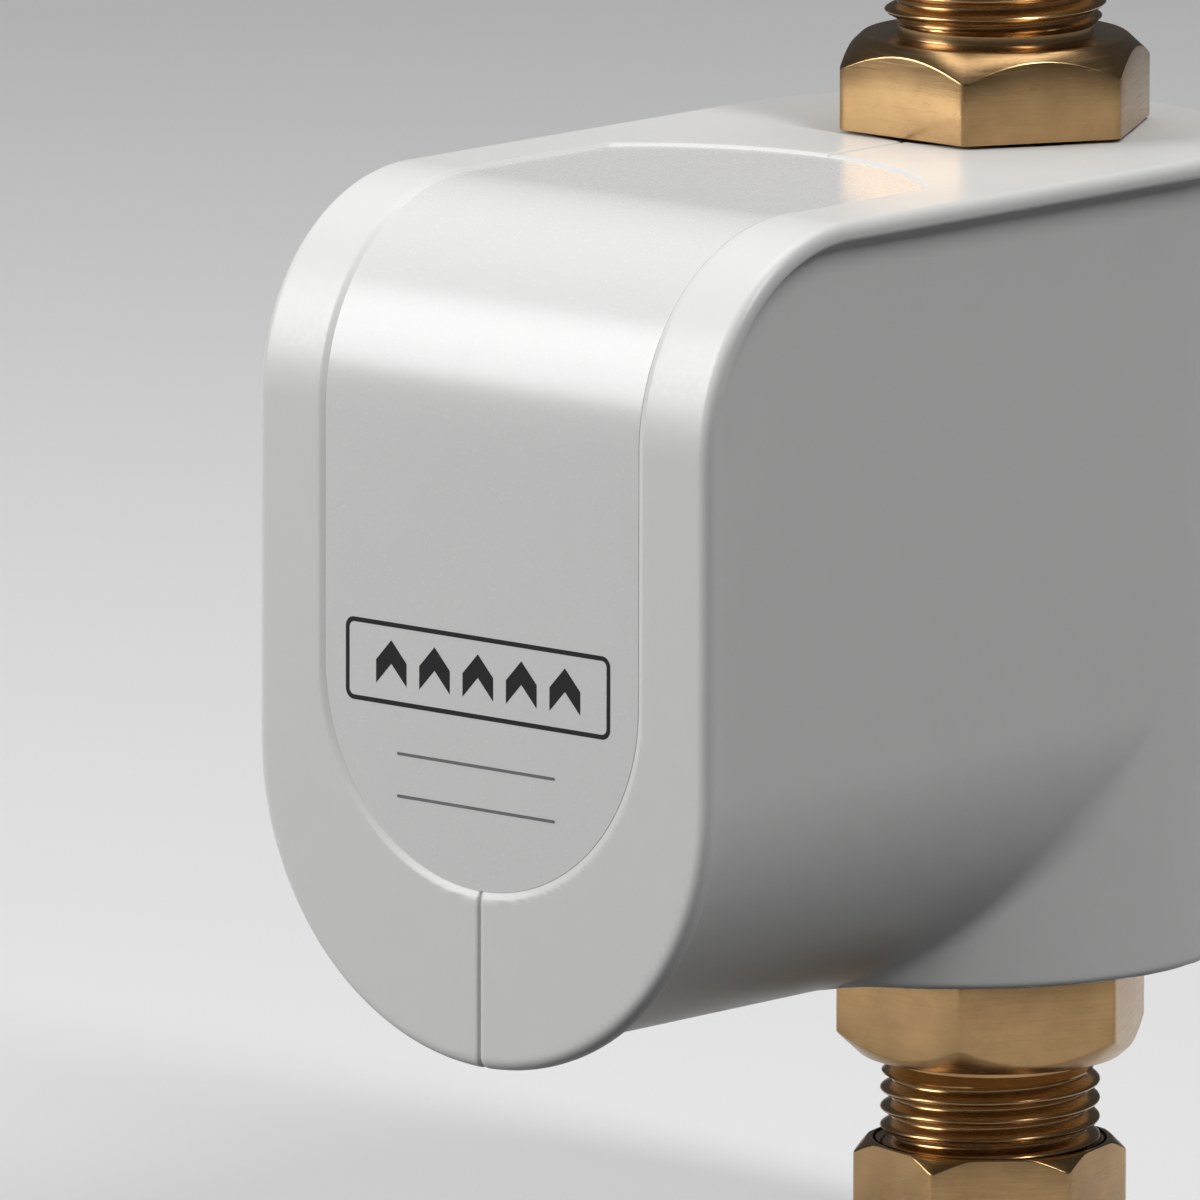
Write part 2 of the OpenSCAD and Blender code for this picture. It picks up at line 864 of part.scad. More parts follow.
module outlet_washer() {
  color(rubber) at_outlet()
    translate([0, 0, outlet_shoulder]) ring(washer_r, plug_r + fit_gap, washer_t);
}

// Strainer: a slotted cone that stands on the step above the pipe stop
module inlet_strainer() {
  base_r = water_r - cage_tube_t - 4 * fit_gap;
  color(steel) translate([0, 0, stop_t]) {
    ring(water_r - 2 * fit_gap, base_r - 2 * strainer_wall, strainer_flange_t);
    difference() {
      rotate_extrude() polygon([
        [base_r - strainer_wall, 0],
        [base_r, 0],
        [strainer_top_r, strainer_h],
        [0, strainer_h],
        [0, strainer_h - strainer_wall],
        [strainer_top_r - strainer_wall, strainer_h - strainer_wall]
      ]);
      for (i = [0 : strainer_slot_n - 1])
        rotate(360 * i / strainer_slot_n)
          translate([strainer_top_r, -strainer_slot_w / 2, strainer_flange_t + strainer_wall])
            cube([water_r, strainer_slot_w, strainer_h - strainer_flange_t - 3 * strainer_wall]);
    }
  }
}

// Arms from a hub to a ring, for the cages
module spider(outer, hub, bore, h) {
  linear_extrude(h) difference() {
    union() {
      circle(hub);
      for (i = [0 : arm_n - 1])
        rotate(90 + 360 * i / arm_n) translate([0, -arm_w / 2]) square([outer, arm_w]);
    }
    circle(bore);
  }
}

turbine_cage_top = turbine_z + turbine_h + seat_gap + spider_t + spider_inset;

module turbine_cage() {
  tube_r = water_r - 2 * fit_gap;
  arm_r = tube_r - cage_tube_t / 2;
  color(plastic) {
    translate([0, 0, stop_t + strainer_flange_t])
      ring(tube_r, tube_r - cage_tube_t, turbine_cage_top - stop_t - strainer_flange_t);
    translate([0, 0, spider_low]) spider(arm_r, turbine_hub_r, axle_r, spider_t);
    translate([0, 0, turbine_cage_top - spider_inset - spider_t])
      spider(arm_r, turbine_hub_r, axle_r, spider_t);
  }
}

module turbine_axle() {
  color(steel) translate([0, 0, spider_low])
    cylinder(r = axle_r, h = turbine_cage_top - spider_inset - spider_low);
}

module turbine_blade() {
  intersection() {
    translate([0, 0, turbine_h / 2]) rotate([blade_lean, 0, 0])
      translate([turbine_r / 2 + axle_r, 0, 0])
        cube([turbine_r, blade_t, 2 * turbine_h], center = true);
    translate([0, 0, blade_t]) cylinder(r = turbine_r, h = turbine_h - 2 * blade_t);
  }
}

module flow_turbine() {
  color("white") translate([0, 0, turbine_z]) difference() {
    union() {
      cylinder(r = turbine_hub_r, h = turbine_h);
      for (i = [0 : blade_n - 1]) rotate(360 * i / blade_n) turbine_blade();
    }
    translate([0, 0, -over]) cylinder(r = axle_r + running_gap, h = turbine_h + 2 * over);
    translate([0, 0, turbine_h - ring_magnet_h]) cylinder(r = ring_magnet_r, h = turbine_h);
  }
}

module turbine_magnet() {
  color("black") translate([0, 0, turbine_z + turbine_h - ring_magnet_h])
    ring(ring_magnet_r - running_gap / 2, axle_r + running_gap, ring_magnet_h);
}

module hall_sensor() {
  color("black") translate([hall_x + fit_gap, -hall_w / 2, hall_z]) cube([hall_t, hall_w, hall_h]);
}

// Straight run of lead between two points, with a round end
module lead_run(a, b, r) {
  d = b - a;
  l = norm(d);
  translate(a) rotate([0, acos(d[2] / l), atan2(d[1], d[0])]) cylinder(r = r, h = l);
}

module sensor_lead() {
  start = [hall_x + fit_gap + hall_t, 0, hall_z + hall_h / 2];
  out = [hall_lead_x, 0, start[2]];
  up = [hall_lead_x, 0, board_top + hall_lead_over];
  over_board = [hall_lead_x, -hall_lead_reach, up[2]];
  down = [hall_lead_x, -hall_lead_reach, board_top];
  color("black") {
    lead_run(start, out, hall_lead_r);
    lead_run(out, up, hall_lead_r);
    lead_run(up, over_board, hall_lead_r);
    lead_run(over_board, down, hall_lead_r);
    for (bend = [out, up, over_board]) translate(bend) sphere(hall_lead_r);
  }
}

module lug_places() {
  for (i = [0 : 3]) rotate(45 + 90 * i) translate([lug_circle_r, 0, 0]) children();
}

// Flange for the four screws: a disc with a slightly thinner lug at each screw
module lug_flange(r, back, front) {
  translate([0, 0, back]) {
    cylinder(r = r, h = front - back);
    lug_places() cylinder(r = lug_r, h = front - back - lug_step);
  }
}

// Pump body: column and collars on the pipe axis, drum on the motor's axis, waterways inside
module pump_body() {
  color(brass) difference() {
    union() {
      translate([0, 0, body_bottom]) cylinder(r = column_r, h = body_top - body_bottom);
      translate([0, 0, body_bottom]) cylinder(r = collar_r, h = collar_h);
      translate([0, 0, body_top - collar_h]) cylinder(r = collar_r, h = collar_h);
      on_motor_axis() {
        translate([0, 0, drum_back]) cylinder(r1 = drum_r - drum_back_step, r2 = drum_r, h = drum_cone);
        translate([0, 0, drum_back + drum_cone])
          cylinder(r = drum_r, h = lug_back - drum_back - drum_cone);
        lug_flange(drum_r, lug_back, drum_front);
      }
      translate([0, -discharge_reach, motor_z])
        cylinder(r = discharge_r + discharge_wall, h = discharge_z - motor_z);
      translate([0, -discharge_reach, discharge_z]) sphere(discharge_r + discharge_wall);
      translate([0, 0, discharge_z]) rotate([90, 0, 0])
        cylinder(r = discharge_r + discharge_wall, h = discharge_reach);
    }
    translate([0, 0, body_bottom - over])
      cylinder(r = plug_r + fit_gap, h = plug_l - washer_t + plug_slack + over);
    translate([0, 0, body_bottom]) cylinder(r = water_r, h = motor_z + inlet_top - body_bottom);
    on_motor_axis() {
      cylinder(r = eye_r, h = drum_front);
      translate([0, 0, chamber_back - wear_t]) cylinder(r = wear_r, h = drum_front);
      translate([0, 0, chamber_back]) cylinder(r = chamber_r, h = drum_front);
      lug_places() translate([0, 0, screw_depth - plug_slack]) cylinder(r = screw_r + fit_gap, h = drum_front);
    }
    translate([0, -discharge_reach, motor_z]) cylinder(r = discharge_r, h = discharge_z - motor_z);
    translate([0, -discharge_reach, discharge_z]) sphere(discharge_r);
    translate([0, 0, discharge_z]) rotate([90, 0, 0]) cylinder(r = discharge_r, h = discharge_reach);
    translate([0, 0, discharge_z - discharge_r - outlet_sump])
      cylinder(r = outlet_bore_r, h = body_top);
    translate([0, 0, cage_z]) cylinder(r = cage_r + fit_gap, h = body_top);
    translate([0, 0, body_top - plug_l + washer_t - plug_slack]) cylinder(r = plug_r + fit_gap, h = body_top);
    translate([hall_x, -hall_w / 2 - fit_gap, hall_z - fit_gap])
      cube([collar_r, hall_w + 2 * fit_gap, hall_h + 2 * fit_gap]);
  }
}

module wear_ring() {
  color(plastic) on_motor_axis() translate([0, 0, chamber_back - wear_t])
    ring(wear_r - fit_gap, wear_bore_r, wear_t);
}

// Centre of an arc of radius r from a to b, on the left of the way from a to b
function arc_centre(a, b, r) =
  let (m = (a + b) / 2, d = b - a, l = norm(d), k = sqrt(r * r - l * l / 4))
  m + [-d[1], d[0]] / l * k;

// One vane: a band along an arc from its root to its tip
module vane_shape() {
  tip_r = impeller_r - vane_tip_gap;
  root = [vane_root_r, 0];
  tip = tip_r * [cos(vane_sweep), sin(vane_sweep)];
  intersection() {
    translate(arc_centre(root, tip, vane_arc_r)) difference() {
      circle(vane_arc_r + vane_t / 2);
      circle(vane_arc_r - vane_t / 2);
    }
    difference() {
      circle(tip_r);
      circle(vane_root_r);
    }
    rotate(-vane_clip) square(2 * impeller_r);
  }
}

module impeller() {
  color("ivory") on_motor_axis() difference() {
    union() {
      translate([0, 0, vane_front]) cylinder(r = impeller_r, h = back_shroud_t);
      translate([0, 0, vane_back - front_shroud_t]) ring(impeller_r, eye_bore_r, front_shroud_t);
      translate([0, 0, eye_collar_back])
        ring(eye_collar_r, eye_bore_r, vane_back - front_shroud_t / 2 - eye_collar_back);
      translate([0, 0, vane_back - front_shroud_t / 2])
        linear_extrude(vane_h + (front_shroud_t + back_shroud_t) / 2)
          for (i = [0 : vane_n - 1]) rotate(360 * i / vane_n) vane_shape();
      translate([0, 0, hub_base]) cylinder(r = hub_r, h = hub_top - hub_base);
    }
    cylinder(r = shaft_r + fit_gap / 2, h = front_reach);
  }
}

module impeller_nut() {
  color(brass) on_motor_axis() translate([0, 0, hub_base - impeller_nut_h]) difference() {
    hex_bar(impeller_nut_r, impeller_nut_h);
    translate([0, 0, -over]) cylinder(r = shaft_r + fit_gap / 2, h = impeller_nut_h + 2 * over);
  }
}

module rotor_shaft() {
  back = hub_base - impeller_nut_h - seat_gap;
  color(steel) on_motor_axis() translate([0, 0, back])
    cylinder(r = shaft_r, h = front_bearing_front - seat_gap - back);
}

module rotor_magnet() {
  color("slategray") on_motor_axis() translate([0, 0, magnet_back])
    ring(magnet_r, shaft_r + fit_gap / 2, magnet_l);
}

module thrust_washer() {
  color("white") on_motor_axis() translate([0, 0, thrust_back])
    ring(thrust_r, shaft_r + fit_gap / 2, thrust_t);
}

module rear_bearing() {
  color("white") on_motor_axis() translate([0, 0, drum_front])
    ring(bearing_r, shaft_r + running_gap, rear_bearing_l);
}

module bearing_plate() {
  color(steel) on_motor_axis() difference() {
    union() {
      translate([0, 0, drum_front]) cylinder(r = bearing_plate_r, h = plate_flange_t);
      translate([0, 0, drum_front]) cylinder(r = bearing_hub_r, h = rear_bearing_l);
    }
    translate([0, 0, drum_front - over]) cylinder(r = bearing_r + fit_gap / 2, h = rear_bearing_l + 2 * over);
  }
}

module body_seal() {
  color(rubber) on_motor_axis() translate([0, 0, drum_front])
    ring(bearing_plate_r + seal_gap + seal_w, bearing_plate_r + seal_gap, plate_flange_t);
}

// Rotor can: a closed sleeve with a flange that the motor shell clamps
module rotor_can() {
  color(steel) on_motor_axis() difference() {
    union() {
      lug_flange(drum_r, can_flange, shell_flange);
      translate([0, 0, can_flange]) cylinder(r = can_r, h = can_end + can_wall - can_flange);
    }
    translate([0, 0, can_flange - over]) cylinder(r = can_r - can_wall, h = can_end - can_flange + over);
    lug_places() translate([0, 0, can_flange - over]) cylinder(r = screw_r + fit_gap, h = can_flange_t + 2 * over);
  }
}

module front_bearing() {
  color("white") on_motor_axis() translate([0, 0, front_bearing_back])
    ring(bearing_r, shaft_r + running_gap, front_bearing_l);
}

module bearing_mount() {
  color(rubber) on_motor_axis() translate([0, 0, front_bearing_back])
    ring(can_r - can_wall - fit_gap, bearing_r + fit_gap / 2, front_bearing_l);
}

// Runs for each stator tooth, with the tooth pointing along X
module each_tooth() {
  for (i = [0 : tooth_n - 1]) rotate(90 + 360 * i / tooth_n) children();
}

module core_shape() {
  shoe_in = can_r + air_gap;
  difference() {
    circle(core_r);
    circle(core_r - yoke_t);
  }
  each_tooth() translate([shoe_in + shoe_t / 2, -tooth_w / 2])
    square([core_r - yoke_t / 2 - shoe_in - shoe_t / 2, tooth_w]);
  difference() {
    circle(shoe_in + shoe_t);
    circle(shoe_in);
    for (i = [0 : tooth_n - 1]) rotate(90 + 360 * (i + 0.5) / tooth_n) {
      polygon([
        [0, 0],
        core_r * [cos(slot_angle / 2), -sin(slot_angle / 2)],
        core_r * [cos(slot_angle / 2), sin(slot_angle / 2)]
      ]);
    }
  }
}

module stator_core() {
  color("slategray") on_motor_axis() translate([0, 0, core_back]) linear_extrude(core_l) core_shape();
}

// Box round a tooth from radius r0 to r1, wider than the tooth by w, longer than the core by l
module tooth_box(r0, r1, w, l) {
  translate([r0, -tooth_w / 2 - w, core_back - l]) cube([r1 - r0, tooth_w + 2 * w, core_l + 2 * l]);
}

module stator_bobbin() {
  color("ivory") on_motor_axis() each_tooth() difference() {
    tooth_box(coil_in_r - seat_gap, coil_out_r + seat_gap / 2, bobbin_t, bobbin_end_t);
    tooth_box(can_r, core_r, fit_gap / 2, fit_gap / 2);
  }
}

module stator_coils() {
  color("peru") on_motor_axis() each_tooth() difference() {
    tooth_box(coil_in_r, coil_out_r, bobbin_t + coil_w, coil_overhang);
    tooth_box(can_r, core_r, bobbin_t + fit_gap / 2, bobbin_end_t + fit_gap / 2);
  }
}

lead_y = core_back - lead_reach;

// Motor shell: a cup over the stator, with lugs and a slot for the leads
module motor_shell() {
  color("gainsboro") on_motor_axis() difference() {
    union() {
      lug_flange(shell_r, shell_flange, shell_flange + shell_flange_t);
      translate([0, 0, shell_flange]) cylinder(r = shell_r, h = shell_end + shell_cap_t - shell_flange);
    }
    translate([0, 0, shell_flange - over]) cylinder(r = shell_r - shell_t, h = shell_end - shell_flange + over);
    lug_places() translate([0, 0, shell_flange - over])
      cylinder(r = screw_r + fit_gap, h = shell_flange_t + 2 * over);
    translate([-lead_pitch - 2 * lead_r, 0, lead_y - 2 * lead_r])
      cube([2 * lead_pitch + 4 * lead_r, 2 * shell_r, 4 * lead_r]);
  }
}

module motor_leads() {
  color("crimson")
    for (i = [-1 : 1])
      translate([i * lead_pitch, -lead_y, motor_z + coil_out_r]) cylinder(r = lead_r, h = board_rise - coil_out_r);
}

module flange_screws() {
  color(steel) on_motor_axis() lug_places() {
    translate([0, 0, screw_depth])
      cylinder(r = screw_r, h = shell_flange + shell_flange_t - lug_step - screw_depth);
    translate([0, 0, shell_flange + shell_flange_t - lug_step])
      cylinder(r = screw_head_r, h = screw_head_h);
  }
}

module motor_buffer() {
  color(rubber) on_motor_axis() translate([0, 0, shell_end + shell_cap_t + fit_gap])
    cylinder(r = buffer_r, h = buffer_l);
}

module circuit_board() {
  color("seagreen") translate([-board_half_w, -board_back - board_l, board_z])
    cube([2 * board_half_w, board_l, board_t]);
}

// Puts a part on the board at its shares of the half width and of the length
module on_board(x_share, place_share) {
  translate([x_share * board_half_w, -board_back - place_share * board_l, board_top]) children();
}

// Size of a part on the board from its shares
function board_size(shares) =
  [shares[0] * board_half_w, shares[1] * board_l, shares[2] * board_room];

module board_capacitor() {
  color("black") on_board(capacitor_shares[0], capacitor_shares[1])
    cylinder(r = capacitor_r, h = capacitor_shares[2] * board_room);
}

module board_choke() {
  color("peru") on_board(choke_shares[0], choke_shares[1]) translate([0, 0, choke_wire_r])
    rotate_extrude() translate([choke_r, 0]) circle(choke_wire_r);
}

module board_module() {
  color("midnightblue") on_board(module_place_shares[0], module_place_shares[1])
    cube(board_size(module_size_shares));
}

module board_chips() {
  color("black")
    for (place_share = chip_place_shares)
      on_board(chip_x_share, place_share) cube([chip_l, chip_w, chip_h]);
}

module heat_sink() {
  size = board_size(sink_size_shares);
  color(steel) on_board(sink_place_shares[0], sink_place_shares[1]) {
    cube([size[0], size[1], sink_base]);
    for (i = [0 : fin_n - 1])
      translate([i * (size[0] - fin_t) / (fin_n - 1), 0, 0]) cube([fin_t, size[1], size[2]]);
  }
}

module terminal_block() {
  size = board_size(terminal_size_shares);
  pitch = size[0] / terminal_n;
  color("green") on_board(terminal_place_shares[0], terminal_place_shares[1]) difference() {
    cube(size);
    for (i = [0 : terminal_n - 1])
      translate([(i + 1 / 2) * pitch, size[1] / 2, size[2] / 2])
        cylinder(r = terminal_screw_r, h = size[2]);
  }
}

// Valve cage: seat below, tube, and a spider that guides the poppet's stem
module valve_cage() {
  color(plastic) translate([0, 0, cage_z]) {
    rotate_extrude() polygon([
      [seat_bore_r, 0],
      [cage_r, 0],
      [cage_r, cage_h],
      [cage_r - cage_wall, cage_h],
      [cage_r - cage_wall, seat_h],
      [seat_bore_r, seat_h]
    ]);
    translate([0, 0, spring_top - cage_z])
      spider(cage_r - cage_wall / 2, cage_hub_r, stem_r + running_gap, cage_hub_h);
  }
}

seal_z = cage_z + seat_h + fit_gap;
poppet_z = seal_z + seal_t;
spring_z = poppet_z + poppet_head_t;
spring_top = cage_top - spider_inset - cage_hub_h;

module valve_seal() {
  color(rubber) translate([0, 0, seal_z]) ring(poppet_r, seal_in_r, seal_t);
}

module valve_poppet() {
  color("white") {
    translate([0, 0, poppet_z]) cylinder(r = poppet_r, h = poppet_head_t);
    translate([0, 0, seal_z]) cylinder(r = seal_in_r - fit_gap, h = seal_t + poppet_head_t);
    translate([0, 0, poppet_z]) cylinder(r = stem_r, h = cage_top - poppet_z - 2 * seat_gap);
  }
}

// Valve spring: one tube along a helix, with rings of six sides
spring_ring_n = 8;
spring_sides = 6;
spring_l = spring_top - spring_z - spring_wire - 2 * fit_gap;
spring_steps = spring_turns * spring_ring_n;
spring_pitch = spring_l / spring_turns;
function spring_point(i) =
  let (t = 360 * i / spring_ring_n)
  [spring_r * cos(t), spring_r * sin(t),
    spring_z + fit_gap + spring_wire / 2 + spring_l * i / spring_steps];
function spring_corner(i, j) =
  let (
    t = 360 * i / spring_ring_n,
    s = 360 * j / spring_sides,
    climb = atan(spring_pitch / (2 * PI * spring_r)),
    outward = [cos(t), sin(t), 0],
    upward = [sin(t) * sin(climb), -cos(t) * sin(climb), cos(climb)]
  )
  spring_point(i) + spring_wire / 2 * (outward * cos(s) + upward * sin(s));
echo(spring_least_gap = norm(spring_point(spring_ring_n) - spring_point(0)) * cos(
  atan(spring_pitch / (2 * PI * spring_r))) - spring_wire);

module valve_spring() {
  points = [
    for (i = [0 : spring_steps], j = [0 : spring_sides - 1]) spring_corner(i, j)
  ];
  side = [
    for (i = [0 : spring_steps - 1], j = [0 : spring_sides - 1], half = [0, 1])
      let (
        a = i * spring_sides + j,
        b = i * spring_sides + (j + 1) % spring_sides,
        c = a + spring_sides,
        d = b + spring_sides
      )
      half == 0 ? [a, c, b] : [b, c, d]
  ];
  last = spring_steps * spring_sides;
  caps = [
    for (j = [1 : spring_sides - 2], end = [0, 1])
      end == 0 ? [0, j, j + 1] : [last, last + j + 1, last + j]
  ];
  color(steel) polyhedron(points, concat(side, caps));
}

housing_left();
housing_right();
front_label();
housing_screws();
lower_isolator();
upper_isolator();
cable_grommet();
inlet_fitting();
outlet_fitting();
inlet_nut();
outlet_nut();
inlet_olive();
outlet_olive();
inlet_washer();
outlet_washer();
inlet_strainer();
turbine_cage();
turbine_axle();
flow_turbine();
turbine_magnet();
hall_sensor();
sensor_lead();
pump_body();
wear_ring();
impeller();
impeller_nut();
rotor_shaft();
rotor_magnet();
thrust_washer();
rear_bearing();
bearing_plate();
body_seal();
rotor_can();
front_bearing();
bearing_mount();
stator_core();
stator_bobbin();
stator_coils();
motor_shell();
motor_leads();
flange_screws();
motor_buffer();
circuit_board();
board_capacitor();
board_choke();
board_module();
board_chips();
heat_sink();
terminal_block();
valve_cage();
valve_poppet();
valve_seal();
valve_spring();
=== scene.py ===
"""Looks of the in-line water booster pump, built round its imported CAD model."""
import json
import math

import bmesh
import bpy
import numpy as np
from mathutils import Matrix, Vector


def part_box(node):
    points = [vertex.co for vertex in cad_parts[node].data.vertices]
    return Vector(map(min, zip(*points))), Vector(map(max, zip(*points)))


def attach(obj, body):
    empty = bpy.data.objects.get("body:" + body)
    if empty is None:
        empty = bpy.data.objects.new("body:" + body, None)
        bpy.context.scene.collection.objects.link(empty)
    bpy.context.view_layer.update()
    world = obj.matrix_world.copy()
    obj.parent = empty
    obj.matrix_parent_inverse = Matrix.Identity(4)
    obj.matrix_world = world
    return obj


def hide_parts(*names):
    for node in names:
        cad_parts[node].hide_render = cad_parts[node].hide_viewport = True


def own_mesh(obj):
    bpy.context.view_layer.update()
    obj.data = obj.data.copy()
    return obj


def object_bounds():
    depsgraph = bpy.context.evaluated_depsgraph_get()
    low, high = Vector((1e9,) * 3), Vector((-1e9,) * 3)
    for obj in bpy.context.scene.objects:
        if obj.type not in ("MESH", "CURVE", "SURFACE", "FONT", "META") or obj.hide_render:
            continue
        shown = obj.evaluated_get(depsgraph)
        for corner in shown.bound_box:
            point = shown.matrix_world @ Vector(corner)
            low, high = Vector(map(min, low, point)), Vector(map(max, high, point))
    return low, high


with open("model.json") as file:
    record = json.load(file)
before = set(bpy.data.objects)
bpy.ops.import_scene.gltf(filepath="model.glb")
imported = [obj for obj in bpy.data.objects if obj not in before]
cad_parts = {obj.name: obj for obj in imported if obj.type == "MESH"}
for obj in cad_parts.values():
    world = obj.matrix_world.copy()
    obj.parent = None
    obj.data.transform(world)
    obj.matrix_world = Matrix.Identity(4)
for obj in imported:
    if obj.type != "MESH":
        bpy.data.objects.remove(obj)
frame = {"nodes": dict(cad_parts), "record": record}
cad_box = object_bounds()

MM = 0.001
PUMP = "pump"

# Sizes of the part in millimetres, as in its source. Housing: rim, walls, faces and seam
RIM_R = 28.0
RIM_T = 1.8
RIM_EDGE_R = 1.2
SIDE_R = 26.3
CAVITY_R = 24.2
PLATE_T = 2.4
CORE_INSET = 0.5
FRONT_Y = -72.5
REAR_Y = -5.7
TOP_Z = 90.0
BASE_Z = 12.8
MOTOR_Z = 37.9
CORNER_R = 20.0
CORNER_ARC = CORNER_R * math.pi / 2
BOTTOM_FRONT_Y = -30.6
CAVITY_FRONT_Y = -32.6
SEAM_X = 0.03

# Ribs round the motor and the pump body, and ledges for the circuit board
RIB_R = 25.8
RIB_HALF_T = 1.0
MOTOR_RIB_PLACES = (-36.0, -56.0)
MOTOR_RIB_R = 19.2
MOTOR_RIB_RISE = 8.0
PIPE_RIB_HEIGHTS = (24.9, 77.9)
PIPE_RIB_R = 13.8
PIPE_RIB_FRONT_Y = 4.0
LEDGE_HEIGHTS = (61.2, 64.4)
LEDGE_HALF_T = 0.75
LEDGE_INNER_X = 20.9
LEDGE_MIDDLE_Y = -41.5
LEDGE_HALF_L = 24.5

# Openings at both ends and at the rear, and the case screws as (y, z, radius of the boss)
OPENING_R = 12.95
OPENING_DEPTH = 3.0
GLAND_R = 4.75
GLAND_Z = 50.0
GLAND_FRONT_Y = 14.0
CASE_SCREWS = ((-60.5, 80.4, 3.0), (-66.0, 16.3, 2.6), (15.35, 36.0, 3.0), (15.35, 64.0, 3.0))
WELL_R = 2.2
WELL_FLOOR_X = -7.0
SCREW_HOLE_R = 1.1
SCREW_HOLE_X = 8.5

# Widths over which the housing's edges and inner corners are rounded, and the length over which
# the fillet between the drum and the upright cylinder starts
UPRIGHT_EDGE = 0.8
LIP_EDGE = 0.5
RECESS_EDGE = 0.15
OPENING_EDGE = 0.4
WELL_EDGE = 0.2
SEAM_EDGE = 0.55
RIM_FILLET = 0.4
DRUM_FILLET = 1.2
CAVITY_FILLET = 0.5
RIB_FILLET = 0.1
FILLET_FADE = 10.0

# Grid on which the housing is meshed: the widest step, and for each axis its ends and its finer
# stretches as (centre, reach, step), at the seam, the rims, the label's edge, the base and the drum
GRID_STEP = 0.6
GRID_ACROSS = (-0.45, 28.5, ((0.3, 0.9, 0.17), (19.2, 0.8, 0.2), (9, 10, 0.42), (27.2, 1.3, 0.3)))
GRID_ALONG = (-73.03, 22.8, ((-71.7, 1.5, 0.21), (21.5, 1.2, 0.3), (-28.6, 0.5, 0.25)))
GRID_UPWARD = (9.41, 90.6, ((88.9, 1.8, 0.21), (12.4, 1.6, 0.3), (35, 9, 0.42)))

# Label, with the rows of its foot, front, corner, top and end, its recess, and the print on it
LABEL_HALF_W = 19.0
LABEL_LOW_Z = 46.1
LABEL_FOOT_Z = LABEL_LOW_Z - LABEL_HALF_W
LABEL_END_R = 26.0
LABEL_END_Y = -50.6
LABEL_T = 0.25
LABEL_LAP = 0.42
LABEL_TIP_HALF_W = 0.02
LABEL_ROWS = (28, 8, 30, 6, 24)
LABEL_COLUMNS = 25
RECESS_DEPTH = 0.5
RECESS_BEVEL = 1.1
PRINT_LIFT = 0.02
PRINT_DEPTH = RECESS_DEPTH - LABEL_T - PRINT_LIFT

# Brass fittings, with heights from the pipe's stop; each end has its hexagon's height and its
# shoulder's
STOP_TO_STOP = 100.0
FITTINGS = (("inlet", 11.4, 16.4), ("outlet", 8.6, 13.6))
HEX_AF = 27.0
HEX_LOW_Z = 1.1
HEX_FACE_R = 12.5
HEX_CONE_SLOPE = 2.85 / 3.088
THREAD_R = 10.48
THREAD_ROOT_R = 9.3
THREAD_PITCH = 1.814
THREAD_RUNOUT_R = 9.5
THREAD_END_Z = 0.2
SPIGOT_END_Z = -14.0
SPIGOT_TIP_R = 9.28
SPIGOT_MOUTH_R = 9.2
PIPE_BORE_R = 7.575
PIPE_BORE_L = 12.1
PIPE_STOP_R = 6.2
PIPE_STOP_T = 2.2
NECK_R = 11.2
PLUG_R = 9.6
PLUG_L = 10.1
PLUG_BORE_R = 7.2

# Compression nut, with its thread, its mouth and its seat for the olive
NUT_AF = 22.8
NUT_TURN = 45.6
NUT_TOP_Z = -7.3
NUT_END_Z = -22.0
NUT_FACE_R = 11.663
NUT_CONE_RISE = 1.5
NUT_LEAST_CHAMFER = 0.1
NUT_BORE_R = 10.55
NUT_BORE_END_Z = -18.5
NUT_BORE_EDGE_R = 10.2
NUT_ROOT_R = 10.6
NUT_THREAD_GAP = 0.1
NUT_MOUTH_R = 10.9
NUT_MOUTH_RISE = 0.6
NUT_LEAD_SLOPE = 2.0
NUT_SEAT_R = 9.2
NUT_SEAT_Z = -18.8
NUT_CONE_R = 7.9
NUT_CONE_Z = -20.4
NUT_PIPE_R = 7.75
NUT_PIPE_Z = -20.55

# Roundings of the brass: inner corners, the thread's last groove, turned edges, the hexagon's
# edges at its cone and its flat end, the nut's hole, the faces that are chamfered, and the plug
INNER_ROUND = 0.05
GROOVE_ROUND = 0.12
TURNED_ROUND = 0.1
CONE_ROUND = 0.12
HEX_ROUND = 0.15
HOLE_ROUND = 0.2
FACE_ROUND = 0.25
PLUG_ROUND = 0.3

# Wear of the hexagons' corners: how far they are taken down, and over what width
WORN_DEPTH = 0.12
WORN_WIDTH = 0.09

# Valve spring: radius of its coil and of its wire, and its turns
SPRING_R = 2.1
SPRING_WIRE_R = 0.25
SPRING_TURNS = 5.5

# Angles in degrees above which an edge is shaded sharp
SHELL_SHARP = 28
TURNED_SHARP = 32
LABEL_SHARP = 50

# Step over which a field's slope is taken, and the least width or length to divide by
SLOPE_STEP = 0.02
TINY = 1e-6


def smooth_max(a, b, k):
    """Intersection of two distance fields, with its edge rounded over a width of k."""
    h = np.maximum(k - np.abs(a - b), 0) / k
    return np.maximum(a, b) + h * h * k / 4


def smooth_min(a, b, k):
    """Union of two distance fields, with its inner corner filled over a width of k."""
    k = np.maximum(k, TINY)
    h = np.maximum(k - np.abs(a - b), 0) / k
    return np.minimum(a, b) - h * h * k / 4


def front_field(x, z, r):
    """Distance outside the front outline: straight sides on a half round."""
    return np.where(z < MOTOR_Z, np.hypot(x, z - MOTOR_Z), np.abs(x)) - r


def plan_field(x, y, r):
    """Distance outside the outline seen from above: straight sides and a round rear."""
    return np.where(y > REAR_Y, np.hypot(x, y - REAR_Y), np.abs(x)) - r


def face_field(y, z):
    """Distance outside the front face, the corner and the top."""
    ahead = FRONT_Y + CORNER_R - y
    above = z - (TOP_Z - CORNER_R)
    both = (ahead > 0) & (above > 0)
    return np.where(both, np.hypot(ahead, above), np.maximum(ahead, above)) - CORNER_R


